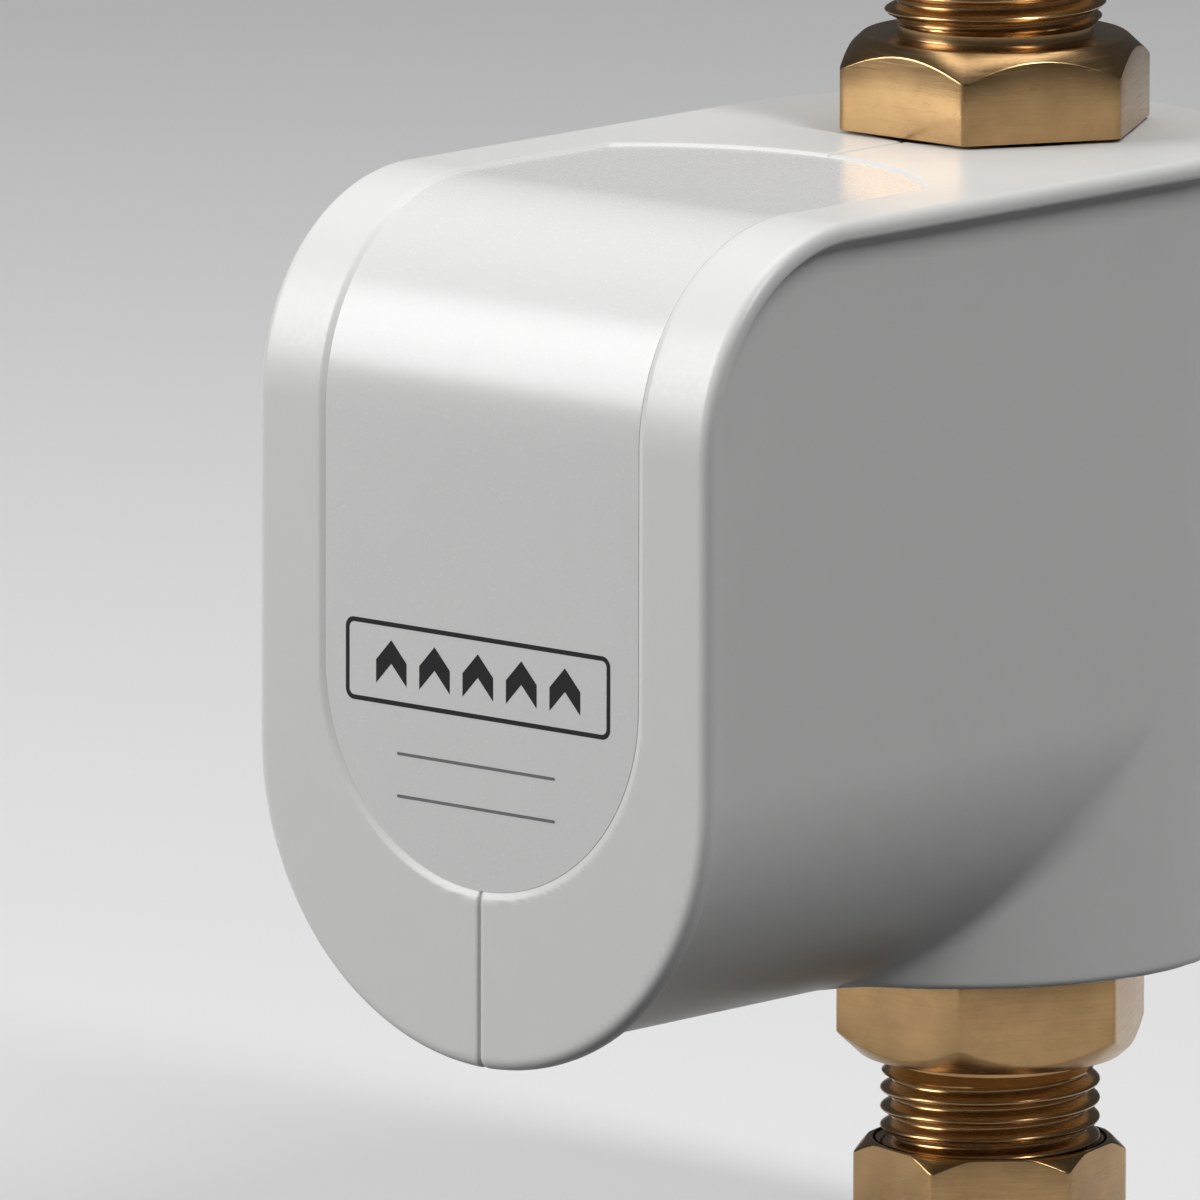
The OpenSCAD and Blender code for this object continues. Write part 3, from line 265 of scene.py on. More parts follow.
def body_field(x, y, z, r, low_z, low_y, blend):
    """Prism with a half-round bottom, joined to the upright cylinder on the pipe's side."""
    prism = np.maximum(front_field(x, z, r), plan_field(x, y, r))
    prism = np.maximum(prism, np.minimum(low_z - z, y - low_y))
    upright = smooth_max(np.hypot(x, y - REAR_Y) - r, low_z - z, UPRIGHT_EDGE)
    ahead = np.clip((REAR_Y - y) / FILLET_FADE, 0, 1) * np.clip((MOTOR_Z - z) / FILLET_FADE, 0, 1)
    return smooth_min(prism, upright, blend * ahead)


def label_field(x, y, z):
    """Distance outside the label's outline, without regard to depth."""
    low = np.where(z < LABEL_LOW_Z, np.hypot(x, z - LABEL_LOW_Z), np.abs(x)) - LABEL_HALF_W
    end = np.where(y > LABEL_END_Y, np.hypot(x, y - LABEL_END_Y) - LABEL_END_R, low)
    return np.maximum(low, end)


def rib_fields(x, y, z):
    """Ribs, ledges and screw bosses inside the housing."""
    body = body_field(x, y, z, RIB_R, BASE_Z + CORE_INSET, BOTTOM_FRONT_Y, RIB_FILLET)
    body = np.maximum(body, face_field(y, z) + 2 * CORE_INSET)
    ribs = [
        np.maximum.reduce([
            np.abs(y - middle) - RIB_HALF_T, z - MOTOR_Z - MOTOR_RIB_RISE,
            MOTOR_RIB_R - np.hypot(x, z - MOTOR_Z)
        ]) for middle in MOTOR_RIB_PLACES
    ]
    ribs += [
        np.maximum.reduce([
            np.abs(z - height) - RIB_HALF_T, PIPE_RIB_FRONT_Y - y, PIPE_RIB_R - np.hypot(x, y)
        ]) for height in PIPE_RIB_HEIGHTS
    ]
    ribs += [
        np.maximum.reduce([
            LEDGE_INNER_X - np.abs(x), np.abs(y - LEDGE_MIDDLE_Y) - LEDGE_HALF_L,
            np.abs(z - height) - LEDGE_HALF_T
        ]) for height in LEDGE_HEIGHTS
    ]
    ribs += [np.hypot(y - place[0], z - place[1]) - place[2] for place in CASE_SCREWS]
    return np.maximum(np.minimum.reduce(ribs), body)


def housing_field(x, y, z, side):
    """One half shell of the housing, with side -1 for the left and 1 for the right."""
    depth = face_field(y, z)
    wide = np.maximum(front_field(x, z, RIM_R), plan_field(x, y, RIM_R)) + RIM_EDGE_R
    deep = depth + RIM_EDGE_R
    rim = np.hypot(np.maximum(wide, 0), np.maximum(deep, 0))
    rim = rim + np.minimum(np.maximum(wide, deep), 0) - RIM_EDGE_R
    rim = smooth_max(rim, -depth - RIM_T, LIP_EDGE)
    body = body_field(x, y, z, SIDE_R, BASE_Z, BOTTOM_FRONT_Y, DRUM_FILLET)
    body = np.maximum(body, depth + CORE_INSET)
    shell = smooth_min(rim, body, RIM_FILLET)
    bevel = RECESS_BEVEL * (1 + depth / RECESS_DEPTH)
    recess = np.maximum(label_field(x, y, z) - bevel, -depth - RECESS_DEPTH)
    shell = smooth_max(shell, -recess, RECESS_EDGE)
    cavity = body_field(x, y, z, CAVITY_R, BASE_Z + PLATE_T, CAVITY_FRONT_Y, CAVITY_FILLET)
    cavity = np.maximum(cavity, depth + PLATE_T)
    shell = np.maximum(shell, -cavity)
    shell = np.minimum(shell, rib_fields(x, y, z))
    ends = np.minimum(z - BASE_Z - OPENING_DEPTH, TOP_Z - OPENING_DEPTH - z)
    ends = np.maximum(np.hypot(x, y) - OPENING_R, ends)
    gland = np.maximum(np.hypot(x, z - GLAND_Z) - GLAND_R, GLAND_FRONT_Y - y)
    shell = smooth_max(shell, -np.minimum(ends, gland), OPENING_EDGE)
    for place in CASE_SCREWS:
        off = np.hypot(y - place[0], z - place[1])
        well = np.maximum(off - WELL_R, x - WELL_FLOOR_X)
        hole = np.maximum(off - SCREW_HOLE_R, x - SCREW_HOLE_X)
        shell = smooth_max(shell, -np.minimum(well, hole), WELL_EDGE)
    return smooth_max(shell, SEAM_X - side * x, SEAM_EDGE)


def grid_lines(low, high, fine):
    """Positions from low to high, closer together near each (centre, reach, step) of fine."""
    places = [low]
    while places[-1] < high:
        near = [step for centre, reach, step in fine if abs(places[-1] - centre) < reach]
        places.append(places[-1] + min(near + [GRID_STEP]))
    return np.array(places)


def field_normals(field, points):
    """Unit gradients of a field at points."""
    slopes = []
    for axis in range(3):
        shift = np.zeros(3)
        shift[axis] = SLOPE_STEP
        slopes.append(field(*(points + shift).T) - field(*(points - shift).T))
    slopes = np.stack(slopes, 1)
    return slopes / np.maximum(np.linalg.norm(slopes, axis=1, keepdims=True), TINY)


# Halvings that find where an edge of the grid meets the surface, and the pull that keeps a
# vertex near the middle of its crossings where the surface is flat
HALVINGS = 9
MIDDLE_PULL = 0.05


def edge_crossings(field, lines, values, axis):
    """Where the grid's edges along an axis meet the surface: indices, directions and points."""
    count = len(lines[axis])
    near = np.take(values, range(count - 1), axis)
    far = np.take(values, range(1, count), axis)
    index = np.argwhere((near < 0) != (far < 0))
    inward = near[tuple(index.T)] < 0
    start = np.stack([lines[a][index[:, a]] for a in range(3)], 1)
    span = np.zeros_like(start)
    span[:, axis] = lines[axis][index[:, axis] + 1] - start[:, axis]
    low = np.zeros(len(start))
    high = np.ones(len(start))
    for _ in range(HALVINGS):
        middle = (low + high) / 2
        same = (field(*(start + span * middle[:, None]).T) < 0) == inward
        low = np.where(same, middle, low)
        high = np.where(same, high, middle)
    return index, inward, start + span * ((low + high) / 2)[:, None]


def cell_points(points, normals, cell):
    """Point of each cell that lies nearest to the tangent planes at its crossings."""
    def total(weights):
        return np.bincount(cell, weights)

    centre = np.stack([total(points[:, a]) for a in range(3)], 1) / np.bincount(cell)[:, None]
    offset = (normals * (points - centre[cell])).sum(1)
    matrix = np.stack([
        np.stack([total(normals[:, a] * normals[:, b]) for b in range(3)], 1) for a in range(3)
    ], 1)
    matrix += MIDDLE_PULL * np.eye(3)
    pull = np.stack([total(normals[:, a] * offset) for a in range(3)], 1)
    return centre + np.linalg.solve(matrix, pull[:, :, None])[:, :, 0]


def contour_field(field, lines):
    """Closed surface where a field is zero, by dual contouring: it keeps sharp edges."""
    plane = np.meshgrid(lines[1], lines[2], indexing="ij")
    values = np.stack([field(np.full_like(plane[0], x), *plane) for x in lines[0]])
    counts = [len(line) - 1 for line in lines]
    stride = np.array([counts[1] * counts[2], counts[2], 1])
    cells, points, normals, quads = [], [], [], []
    for axis in range(3):
        index, inward, crossing = edge_crossings(field, lines, values, axis)
        slope = field_normals(field, crossing)
        around = []
        for back in ((0, 0), (-1, 0), (-1, -1), (0, -1)):
            cell = index.copy()
            cell[:, (axis + 1) % 3] += back[0]
            cell[:, (axis + 2) % 3] += back[1]
            around.append(cell @ stride)
            points.append(crossing)
            normals.append(slope)
        cells += around
        loop = np.stack(around, 1)
        quads.append(np.where(inward[:, None], loop, loop[:, ::-1]))
    ids, cell = np.unique(np.concatenate(cells), return_inverse=True)
    vertices = cell_points(np.concatenate(points), np.concatenate(normals), cell)
    places = np.unravel_index(ids, counts)
    for a in range(3):
        vertices[:, a] = np.clip(vertices[:, a], lines[a][places[a]], lines[a][places[a] + 1])
    return vertices, np.searchsorted(ids, np.concatenate(quads))


# Share of the way to a face's middle at which its own normal is taken
CORNER_INSET = 0.3


def corner_normals(field, vertices, quads):
    """Normal for each corner of each face: the field's own, split where an edge is sharp."""
    smooth = field_normals(field, vertices)[quads]
    middle = vertices[quads].mean(1, keepdims=True)
    inner = vertices[quads] * (1 - CORNER_INSET) + middle * CORNER_INSET
    own = field_normals(field, inner.reshape(-1, 3)).reshape(quads.shape + (3,))
    sharp = (smooth * own).sum(2, keepdims=True) < math.cos(math.radians(SHELL_SHARP))
    return np.where(sharp, own, smooth).reshape(-1, 3)


def new_object(name, vertices, faces, material):
    """Mesh object from points in millimetres, shaded smooth."""
    mesh = bpy.data.meshes.new(name)
    mesh.from_pydata((np.asarray(vertices) * MM).tolist(), [], np.asarray(faces).tolist())
    mesh.polygons.foreach_set("use_smooth", [True] * len(mesh.polygons))
    mesh.materials.append(material)
    obj = bpy.data.objects.new(name, mesh)
    bpy.context.scene.collection.objects.link(obj)
    return obj


def stand_for(piece, node, body):
    """Puts a piece in the place of a CAD node, on its body, and hides the node."""
    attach(piece, body)
    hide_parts(node)


def noise(nodes, scale, detail, roughness):
    """Adds a noise texture."""
    node = nodes.new("ShaderNodeTexNoise")
    node.inputs["Scale"].default_value = scale
    node.inputs["Detail"].default_value = detail
    node.inputs["Roughness"].default_value = roughness
    return node


# Scale of the broad noise as a share of the fine one's, detail and roughness of both, the span
# that most noise lies in, how far it takes a surface's roughness, and how strong its bump is
BROAD_SHARE = 0.08
BROAD_NOISE = (4.0, 0.6)
FINE_NOISE = (3.0, 0.55)
NOISE_LOW = 0.3
NOISE_HIGH = 0.7
ROUGHNESS_LOW = 0.85
ROUGHNESS_HIGH = 1.2
BUMP_STRENGTH = 0.5


def surface_material(name, colour, metallic, roughness, grain, tint, bump, stretch=(1, 1, 1)):
    """Material with noise in its colour, roughness and bump. grain is the noise scale per metre."""
    material = bpy.data.materials.new(name)
    material.use_nodes = True
    nodes = material.node_tree.nodes
    links = material.node_tree.links
    shader = nodes["Principled BSDF"]
    shader.inputs["Metallic"].default_value = metallic
    place = nodes.new("ShaderNodeTexCoord")
    scale = nodes.new("ShaderNodeMapping")
    scale.inputs["Scale"].default_value = stretch
    links.new(place.outputs["Object"], scale.inputs["Vector"])
    broad = noise(nodes, grain * BROAD_SHARE, *BROAD_NOISE)
    fine = noise(nodes, grain, *FINE_NOISE)
    links.new(place.outputs["Object"], broad.inputs["Vector"])
    links.new(scale.outputs["Vector"], fine.inputs["Vector"])
    ramp = nodes.new("ShaderNodeValToRGB")
    ramp.color_ramp.elements[0].position = NOISE_LOW
    ramp.color_ramp.elements[1].position = NOISE_HIGH
    ramp.color_ramp.elements[0].color = [c * (1 - tint) for c in colour] + [1]
    ramp.color_ramp.elements[1].color = [min(c * (1 + tint), 1) for c in colour] + [1]
    links.new(broad.outputs["Fac"], ramp.inputs["Fac"])
    links.new(ramp.outputs["Color"], shader.inputs["Base Color"])
    rough = nodes.new("ShaderNodeMapRange")
    rough.inputs["From Min"].default_value = NOISE_LOW
    rough.inputs["From Max"].default_value = NOISE_HIGH
    rough.inputs["To Min"].default_value = roughness * ROUGHNESS_LOW
    rough.inputs["To Max"].default_value = roughness * ROUGHNESS_HIGH
    links.new(fine.outputs["Fac"], rough.inputs["Value"])
    links.new(rough.outputs["Result"], shader.inputs["Roughness"])
    height = nodes.new("ShaderNodeBump")
    height.inputs["Strength"].default_value = BUMP_STRENGTH
    height.inputs["Distance"].default_value = bump
    links.new(fine.outputs["Fac"], height.inputs["Height"])
    links.new(height.outputs["Normal"], shader.inputs["Normal"])
    return material


# Finish of each material slot: colour, metallic, roughness, grain, tint, bump and, where the
# grain runs one way, its stretch
FINISHES = {
    "housing": ((0.82, 0.82, 0.805), 0.0, 0.34, 2600, 0.01, 4e-6),
    "label": ((0.80, 0.80, 0.79), 0.0, 0.24, 3000, 0.006, 1e-6),
    "joint_brass": ((0.42, 0.265, 0.125), 1.0, 0.24, 2600, 0.14, 3e-6, (0.06, 0.06, 1.8)),
    "olive_brass": ((0.72, 0.53, 0.26), 1.0, 0.28, 1500, 0.06, 4e-6),
    "cast_brass": ((0.55, 0.40, 0.21), 1.0, 0.5, 900, 0.12, 4e-5),
    "rubber": ((0.025, 0.025, 0.026), 0.0, 0.62, 1800, 0.2, 2e-5),
    "screw_steel": ((0.55, 0.55, 0.56), 1.0, 0.32, 2200, 0.08, 4e-6),
    "stainless": ((0.62, 0.62, 0.63), 1.0, 0.24, 2200, 0.05, 3e-6),
    "shell_aluminium": ((0.66, 0.67, 0.68), 1.0, 0.38, 1500, 0.05, 6e-6),
    "lamination": ((0.28, 0.29, 0.31), 1.0, 0.45, 2000, 0.12, 1e-5),
    "ferrite": ((0.08, 0.08, 0.085), 0.3, 0.5, 1500, 0.15, 1e-5),
    "carbon": ((0.05, 0.05, 0.055), 0.1, 0.35, 1800, 0.2, 6e-6),
    "winding": ((0.50, 0.20, 0.07), 1.0, 0.3, 1200, 0.1, 2e-5),
    "white_plastic": ((0.78, 0.77, 0.72), 0.0, 0.42, 1500, 0.03, 6e-6),
    "grey_plastic": ((0.40, 0.42, 0.45), 0.0, 0.45, 1500, 0.05, 8e-6),
    "black_plastic": ((0.02, 0.02, 0.021), 0.0, 0.42, 1500, 0.2, 6e-6),
    "blue_plastic": ((0.02, 0.04, 0.15), 0.0, 0.4, 1500, 0.1, 6e-6),
    "green_plastic": ((0.02, 0.17, 0.06), 0.0, 0.4, 1500, 0.08, 6e-6),
    "red_plastic": ((0.42, 0.02, 0.015), 0.0, 0.32, 1500, 0.08, 4e-6),
    "board": ((0.015, 0.12, 0.05), 0.0, 0.3, 1500, 0.12, 4e-6),
}
materials = {slot: surface_material(slot, *values) for slot, values in FINISHES.items()}
for part in frame["record"]["subparts"]:
    node = frame["nodes"][part["node"]]
    for place in node.material_slots:
        place.material = materials[part["material_slot"]]


def housing_half(name, node, side):
    """Half shell with soft moulded edges, in the place of its CAD node and inside its box."""
    def field(x, y, z):
        return housing_field(x, y, z, side)

    across, along, upward = (grid_lines(*axis) for axis in (GRID_ACROSS, GRID_ALONG, GRID_UPWARD))
    if side < 0:
        across = -across[::-1]
    vertices, quads = contour_field(field, [across, along, upward])
    low, high = (np.array(corner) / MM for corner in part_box(node))
    vertices = np.clip(vertices, low, high)
    piece = new_object(name, vertices, quads, materials["housing"])
    piece.data.normals_split_custom_set(corner_normals(field, vertices, quads).tolist())
    stand_for(piece, node, PUMP)


housing_half("shell_left", "housing_left", -1)
housing_half("shell_right", "housing_right", 1)

# Rows to each turn of a thread, and angles within each sixth of a turn: closer at the corners
TURN_ROWS = 14
SECTOR = [0, 0.5, 1.1, 2.0] + [3.75 * step for step in range(1, 16)] + [58.0, 58.9, 59.5]

# Share of the pitch that is flat at the thread's root, and the power that rounds its crest
ROOT_SHARE = 0.1
CREST_POWER = 1.3

# Most of an edge of a profile that the rounding at one of its ends takes, and the distance in
# metres under which points of a turned piece are joined
ROUNDING_SHARE = 0.45
WELD_M = 2e-6


def thread_radius(turn):
    """Radius of the thread at a number of turns along it: rounded crests and roots."""
    saw = np.abs(turn % 1 * 2 - 1)
    flank = np.clip((saw - ROOT_SHARE) / (1 - ROOT_SHARE), 0, 1)
    return THREAD_ROOT_R + (THREAD_R - THREAD_ROOT_R) * np.sin(flank * math.pi / 2) ** CREST_POWER


def thread_rows(angles, low, high, radius):
    """Helical rows of (r, z) between two heights, where radius takes turns and heights."""
    count = int((high - low) / THREAD_PITCH * TURN_ROWS) + TURN_ROWS
    step = THREAD_PITCH / TURN_ROWS
    turn = angles[:, None] / (2 * math.pi)
    z = low + np.arange(count + 2) * step + THREAD_PITCH * (turn - 1)
    z = np.clip(z, low, high)
    return np.stack([radius(z / THREAD_PITCH - turn, z), z], 2)


def rounded_rows(angles, corners):
    """Rows of (r, z) through corners given as (r, z, rounding), each rounded in three steps."""
    count = len(angles)
    points = np.stack([
        np.stack([np.broadcast_to(c[0], count), np.broadcast_to(c[1], count)], 1) for c in corners
    ], 1).astype(float)
    rows = [points[:, 0]]
    for i in range(1, len(corners) - 1):
        before = points[:, i - 1] - points[:, i]
        after = points[:, i + 1] - points[:, i]
        reach = np.linalg.norm(before, axis=1, keepdims=True)
        ahead = np.linalg.norm(after, axis=1, keepdims=True)
        size = np.minimum(corners[i][2], np.minimum(reach, ahead) * ROUNDING_SHARE)
        start = points[:, i] + before / np.maximum(reach, TINY) * size
        end = points[:, i] + after / np.maximum(ahead, TINY) * size
        rows += [start, start / 4 + points[:, i] / 2 + end / 4, end]
    rows.append(points[:, -1])
    return np.stack(rows, 1)


def hex_radius(angles, flats, turn):
    """Radius of a hexagon with slightly worn corners."""
    sector = (angles - math.radians(turn)) % (math.pi / 3) - math.pi / 6
    sharp = flats / 2 / np.cos(sector)
    worn = flats / 2 / math.cos(math.pi / 6) - WORN_DEPTH
    return -np.log(np.exp(-sharp / WORN_WIDTH) + np.exp(-worn / WORN_WIDTH)) * WORN_WIDTH


def sector_angles(turn):
    """Angles of the columns of a turned piece, with a column at each corner of its hexagon."""
    return np.radians([turn + 60 * side + a for side in range(6) for a in SECTOR] + [turn + 360])


def turned_piece(name, angles, rows, at_outlet, slot):
    """Closed piece from columns of (r, z), the last column falling on the first."""
    columns, count = rows.shape[:2]
    radius, z = rows[:, :, 0], rows[:, :, 1]
    points = np.stack([radius * np.cos(angles)[:, None], radius * np.sin(angles)[:, None], z], 2)
    if at_outlet:
        points = points * (1, -1, -1) + (0, 0, STOP_TO_STOP)
    i, j = np.meshgrid(np.arange(columns - 1), np.arange(count), indexing="ij")
    follow = (j + 1) % count
    faces = np.stack([
        i * count + j, (i + 1) * count + j, (i + 1) * count + follow, i * count + follow
    ], 2)
    piece = new_object(name, points.reshape(-1, 3), faces.reshape(-1, 4), materials[slot])
    shape = bmesh.new()
    shape.from_mesh(piece.data)
    bmesh.ops.remove_doubles(shape, verts=shape.verts, dist=WELD_M)
    bmesh.ops.recalc_face_normals(shape, faces=shape.faces)
    shape.to_mesh(piece.data)
    shape.free()
    piece.data.set_sharp_from_angle(angle=math.radians(TURNED_SHARP))
    return piece


def fitting(name, hex_h, shoulder, at_outlet):
    """Brass fitting: threaded spigot, hexagon, neck and plug, with its bore."""
    angles = sector_angles(0)
    corner = hex_radius(angles, HEX_AF, 0)

    def spigot(turn, z):
        return np.minimum.reduce([
            thread_radius(turn), SPIGOT_TIP_R + z - SPIGOT_END_Z,
            np.maximum(THREAD_RUNOUT_R - z, THREAD_ROOT_R)
        ])

    low = HEX_LOW_Z
    high = low + hex_h
    cone_z = low + (corner - HEX_FACE_R) * HEX_CONE_SLOPE
    plug_end = shoulder + PLUG_L
    rest = rounded_rows(angles, [
        (THREAD_ROOT_R, THREAD_END_Z, 0), (THREAD_ROOT_R, low, GROOVE_ROUND),
        (HEX_FACE_R, low, FACE_ROUND), (corner, cone_z, CONE_ROUND), (corner, high, HEX_ROUND),
        (NECK_R, high, INNER_ROUND), (NECK_R, shoulder, TURNED_ROUND),
        (PLUG_R, shoulder, INNER_ROUND), (PLUG_R, plug_end, PLUG_ROUND),
        (PLUG_BORE_R, plug_end, TURNED_ROUND), (PLUG_BORE_R, PIPE_STOP_T, INNER_ROUND),
        (PIPE_STOP_R, PIPE_STOP_T, TURNED_ROUND), (PIPE_STOP_R, 0, TURNED_ROUND),
        (PIPE_BORE_R, 0, INNER_ROUND), (PIPE_BORE_R, -PIPE_BORE_L, TURNED_ROUND),
        (SPIGOT_MOUTH_R, SPIGOT_END_Z, 0),
    ])
    rows = np.concatenate([thread_rows(angles, SPIGOT_END_Z, THREAD_END_Z, spigot), rest], 1)
    return turned_piece(name, angles, rows, at_outlet, "joint_brass")


def compression_nut(name, at_outlet):
    """Compression nut whose inner thread lies in the grooves of its spigot."""
    turn = -NUT_TURN if at_outlet else NUT_TURN
    angles = sector_angles(turn)
    corner = hex_radius(angles, NUT_AF, turn)
    drop = corner - NUT_AF / 2 / math.cos(math.pi / 6) + NUT_CONE_RISE
    drop = np.maximum(drop, NUT_LEAST_CHAMFER)
    face_r = np.minimum(NUT_FACE_R, corner - NUT_LEAST_CHAMFER)

    def inner(turns, z):
        return np.maximum.reduce([
            np.minimum(thread_radius(turns) + NUT_THREAD_GAP, NUT_ROOT_R),
            NUT_BORE_R - (NUT_TOP_Z - z) * NUT_LEAD_SLOPE + NUT_MOUTH_RISE,
            NUT_BORE_R - (z - NUT_BORE_END_Z) * NUT_LEAD_SLOPE,
        ])

    outside = rounded_rows(angles, [
        (NUT_PIPE_R, NUT_PIPE_Z, 0), (NUT_PIPE_R, NUT_END_Z, HOLE_ROUND),
        (face_r, NUT_END_Z, FACE_ROUND), (corner, NUT_END_Z + drop, TURNED_ROUND),
        (corner, NUT_TOP_Z - drop, TURNED_ROUND), (face_r, NUT_TOP_Z, FACE_ROUND),
        (NUT_MOUTH_R, NUT_TOP_Z, 0),
    ])
    inside = thread_rows(angles, NUT_BORE_END_Z, NUT_TOP_Z, inner)[:, ::-1]
    seat = rounded_rows(angles, [
        (NUT_BORE_EDGE_R, NUT_BORE_END_Z, 0), (NUT_SEAT_R, NUT_BORE_END_Z, 0),
        (NUT_SEAT_R, NUT_SEAT_Z, 0), (NUT_CONE_R, NUT_CONE_Z, 0),
    ])
    rows = np.concatenate([outside, inside, seat], 1)
    return turned_piece(name, angles, rows, at_outlet, "joint_brass")


for end, height, shoulder in FITTINGS:
    at_outlet = end == "outlet"
    piece = fitting(end + "_spigot", height, shoulder, at_outlet)
    stand_for(piece, end + "_fitting", PUMP)
    piece = compression_nut(end + "_cap_nut", at_outlet)
    stand_for(piece, end + "_nut", end + "_nut_body")


# Rings to each turn of the spring's wire, the wire's sides, and how it thins at its blunt ends
SPRING_RINGS = 36
SPRING_SIDES = 12
BLUNT_RINGS = 2
BLUNT_SHARE = 0.8


def coil_spring():
    """Valve spring: round wire along a helix, with blunt ends."""
    low, high = (corner[2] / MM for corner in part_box("valve_spring"))
    steps = np.arange(SPRING_TURNS * SPRING_RINGS + 1)
    turn = steps[:, None] * 2 * math.pi / SPRING_RINGS
    climb = (high - low - 2 * SPRING_WIRE_R) / (SPRING_TURNS * 2 * math.pi)
    tilt = math.atan(climb / SPRING_R)
    end = np.clip(1 - np.minimum(steps, steps[::-1]) / BLUNT_RINGS, 0, BLUNT_SHARE)[:, None]
    wire = SPRING_WIRE_R * np.sqrt(1 - end ** 2)
    sides = SPRING_SIDES
    side = np.arange(sides) * 2 * math.pi / sides
    out = SPRING_R + wire * np.cos(side)
    lean = wire * np.sin(side) * math.sin(tilt)
    points = np.stack([
        out * np.cos(turn) + lean * np.sin(turn), out * np.sin(turn) - lean * np.cos(turn),
        low + SPRING_WIRE_R + climb * turn + wire * np.sin(side) * math.cos(tilt),
    ], 2)
    i, j = np.meshgrid(steps[:-1].astype(int), np.arange(sides), indexing="ij")
    follow = (j + 1) % sides
    faces = np.stack([i * sides + j, i * sides + follow, (i + 1) * sides + follow,
                      (i + 1) * sides + j], 2).reshape(-1, 4)
    caps = [(0, k, k + 1, k + 2) for k in range(1, sides - 2, 2)]
    last = len(points) * sides - sides
    caps = [face[::-1] for face in caps] + [tuple(last + k for k in face) for face in caps]
    return new_object("valve_coil", points.reshape(-1, 3), np.concatenate([faces, caps]),
                      materials["stainless"])


spring = coil_spring()
stand_for(spring, "valve_spring", PUMP)
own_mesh(spring)


def on_face(across, along, depth):
    """Point at a distance along the label from its lowest point, at a depth below the faces."""
    along = along + LABEL_FOOT_Z
    bend = TOP_Z - CORNER_R
    angle = np.clip((along - bend) / CORNER_R, 0, math.pi / 2)
    centre_y = FRONT_Y + CORNER_R
    radius = CORNER_R - depth
    y = centre_y - radius * np.cos(angle) + np.maximum(along - bend - CORNER_ARC, 0)
    z = np.minimum(along, bend) + radius * np.sin(angle)
    return np.stack(np.broadcast_arrays(across, y, z), -1)


def label_sheet():
    """Label in its recess: a sheet that runs up the front, round the corner and over the top."""
    bend = TOP_Z - CORNER_R - LABEL_FOOT_Z
    top_start = bend + CORNER_ARC
    centre = top_start + LABEL_END_Y - FRONT_Y - CORNER_R
    half = LABEL_HALF_W + LABEL_LAP
    far = LABEL_END_R + LABEL_LAP
    last = math.asin(half / far)
    foot_rows, front_rows, corner_rows, top_rows, end_rows = LABEL_ROWS
    foot = np.linspace(0, math.pi / 2, foot_rows)
    end = np.linspace(last, 0, end_rows)
    straight = np.concatenate([
        np.linspace(LABEL_HALF_W, bend, front_rows)[1:],
        np.linspace(bend, top_start, corner_rows)[1:],
        np.linspace(top_start, centre + far * math.cos(last), top_rows)[1:-1],
    ])
    along = np.concatenate([
        LABEL_HALF_W - half * np.cos(foot), straight, centre + far * np.cos(end)
    ])
    width = np.concatenate([
        half * np.sin(foot), np.full(len(straight), half), far * np.sin(end)
    ])
    width = np.maximum(width, LABEL_TIP_HALF_W)
    share = np.sin(np.linspace(-1, 1, LABEL_COLUMNS) * math.pi / 2)
    sheet = on_face(width[:, None] * share, along[:, None], RECESS_DEPTH - LABEL_T)
    rim = on_face(width[:, None] * share[[0, -1]], along[:, None], RECESS_DEPTH)
    grid = np.concatenate([rim[:, :1], sheet, rim[:, 1:]], 1)
    rows, columns = grid.shape[:2]
    i, j = np.meshgrid(np.arange(rows - 1), np.arange(columns - 1), indexing="ij")
    faces = np.stack([i * columns + j, i * columns + j + 1, (i + 1) * columns + j + 1,
                      (i + 1) * columns + j], 2)
    piece = new_object("label_film", grid.reshape(-1, 3), faces.reshape(-1, 4), materials["label"])
    piece.data.set_sharp_from_angle(angle=math.radians(LABEL_SHARP))
    return piece


stand_for(label_sheet(), "front_label", PUMP)


def printed_band(name, outer, inner, colour):
    """Flat print on the label between two closed outlines of (across, along) points."""
    count = len(outer)
    points = np.concatenate([outer, inner])
    ring = np.arange(count)
    follow = (ring + 1) % count
    faces = np.stack([ring, follow, follow + count, ring + count], 1)
    piece = new_object(name, on_face(points[:, 0], points[:, 1], PRINT_DEPTH), faces, colour)
    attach(piece, PUMP)


# Points on each round corner of a printed box
CORNER_POINTS = 10


def round_box(left, right, low, high, radius):
    """Closed outline of a box with round corners."""
    points = []
    corners = ((right - radius, low + radius, -90), (right - radius, high - radius, 0),
               (left + radius, high - radius, 90), (left + radius, low + radius, 180))
    for x, along, start in corners:
        for angle in np.radians(np.linspace(start, start + 90, CORNER_POINTS)):
            points.append((x + radius * math.cos(angle), along + radius * math.sin(angle)))
    return np.array(points)


def printed_bar(name, left, right, low, high, radius, colour):
    """Solid bar with round ends."""
    outer = round_box(left, right, low, high, radius)
    middle = np.column_stack([
        np.clip(outer[:, 0], left + radius, right - radius), np.full(len(outer), (low + high) / 2)
    ])
    printed_band(name, outer, middle, colour)


def printed_chevron(name, x, tip, half, rise, thick, colour):
    """Chevron that points up, for the direction of flow."""
    outer = np.array([(x - half, tip - rise), (x, tip), (x + half, tip - rise)])
    inner = outer - (0, thick)
    points = np.concatenate([outer, inner])
    place = on_face(points[:, 0], points[:, 1], PRINT_DEPTH)
    piece = new_object(name, place, [(3, 4, 1, 0), (4, 5, 2, 1)], colour)
    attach(piece, PUMP)


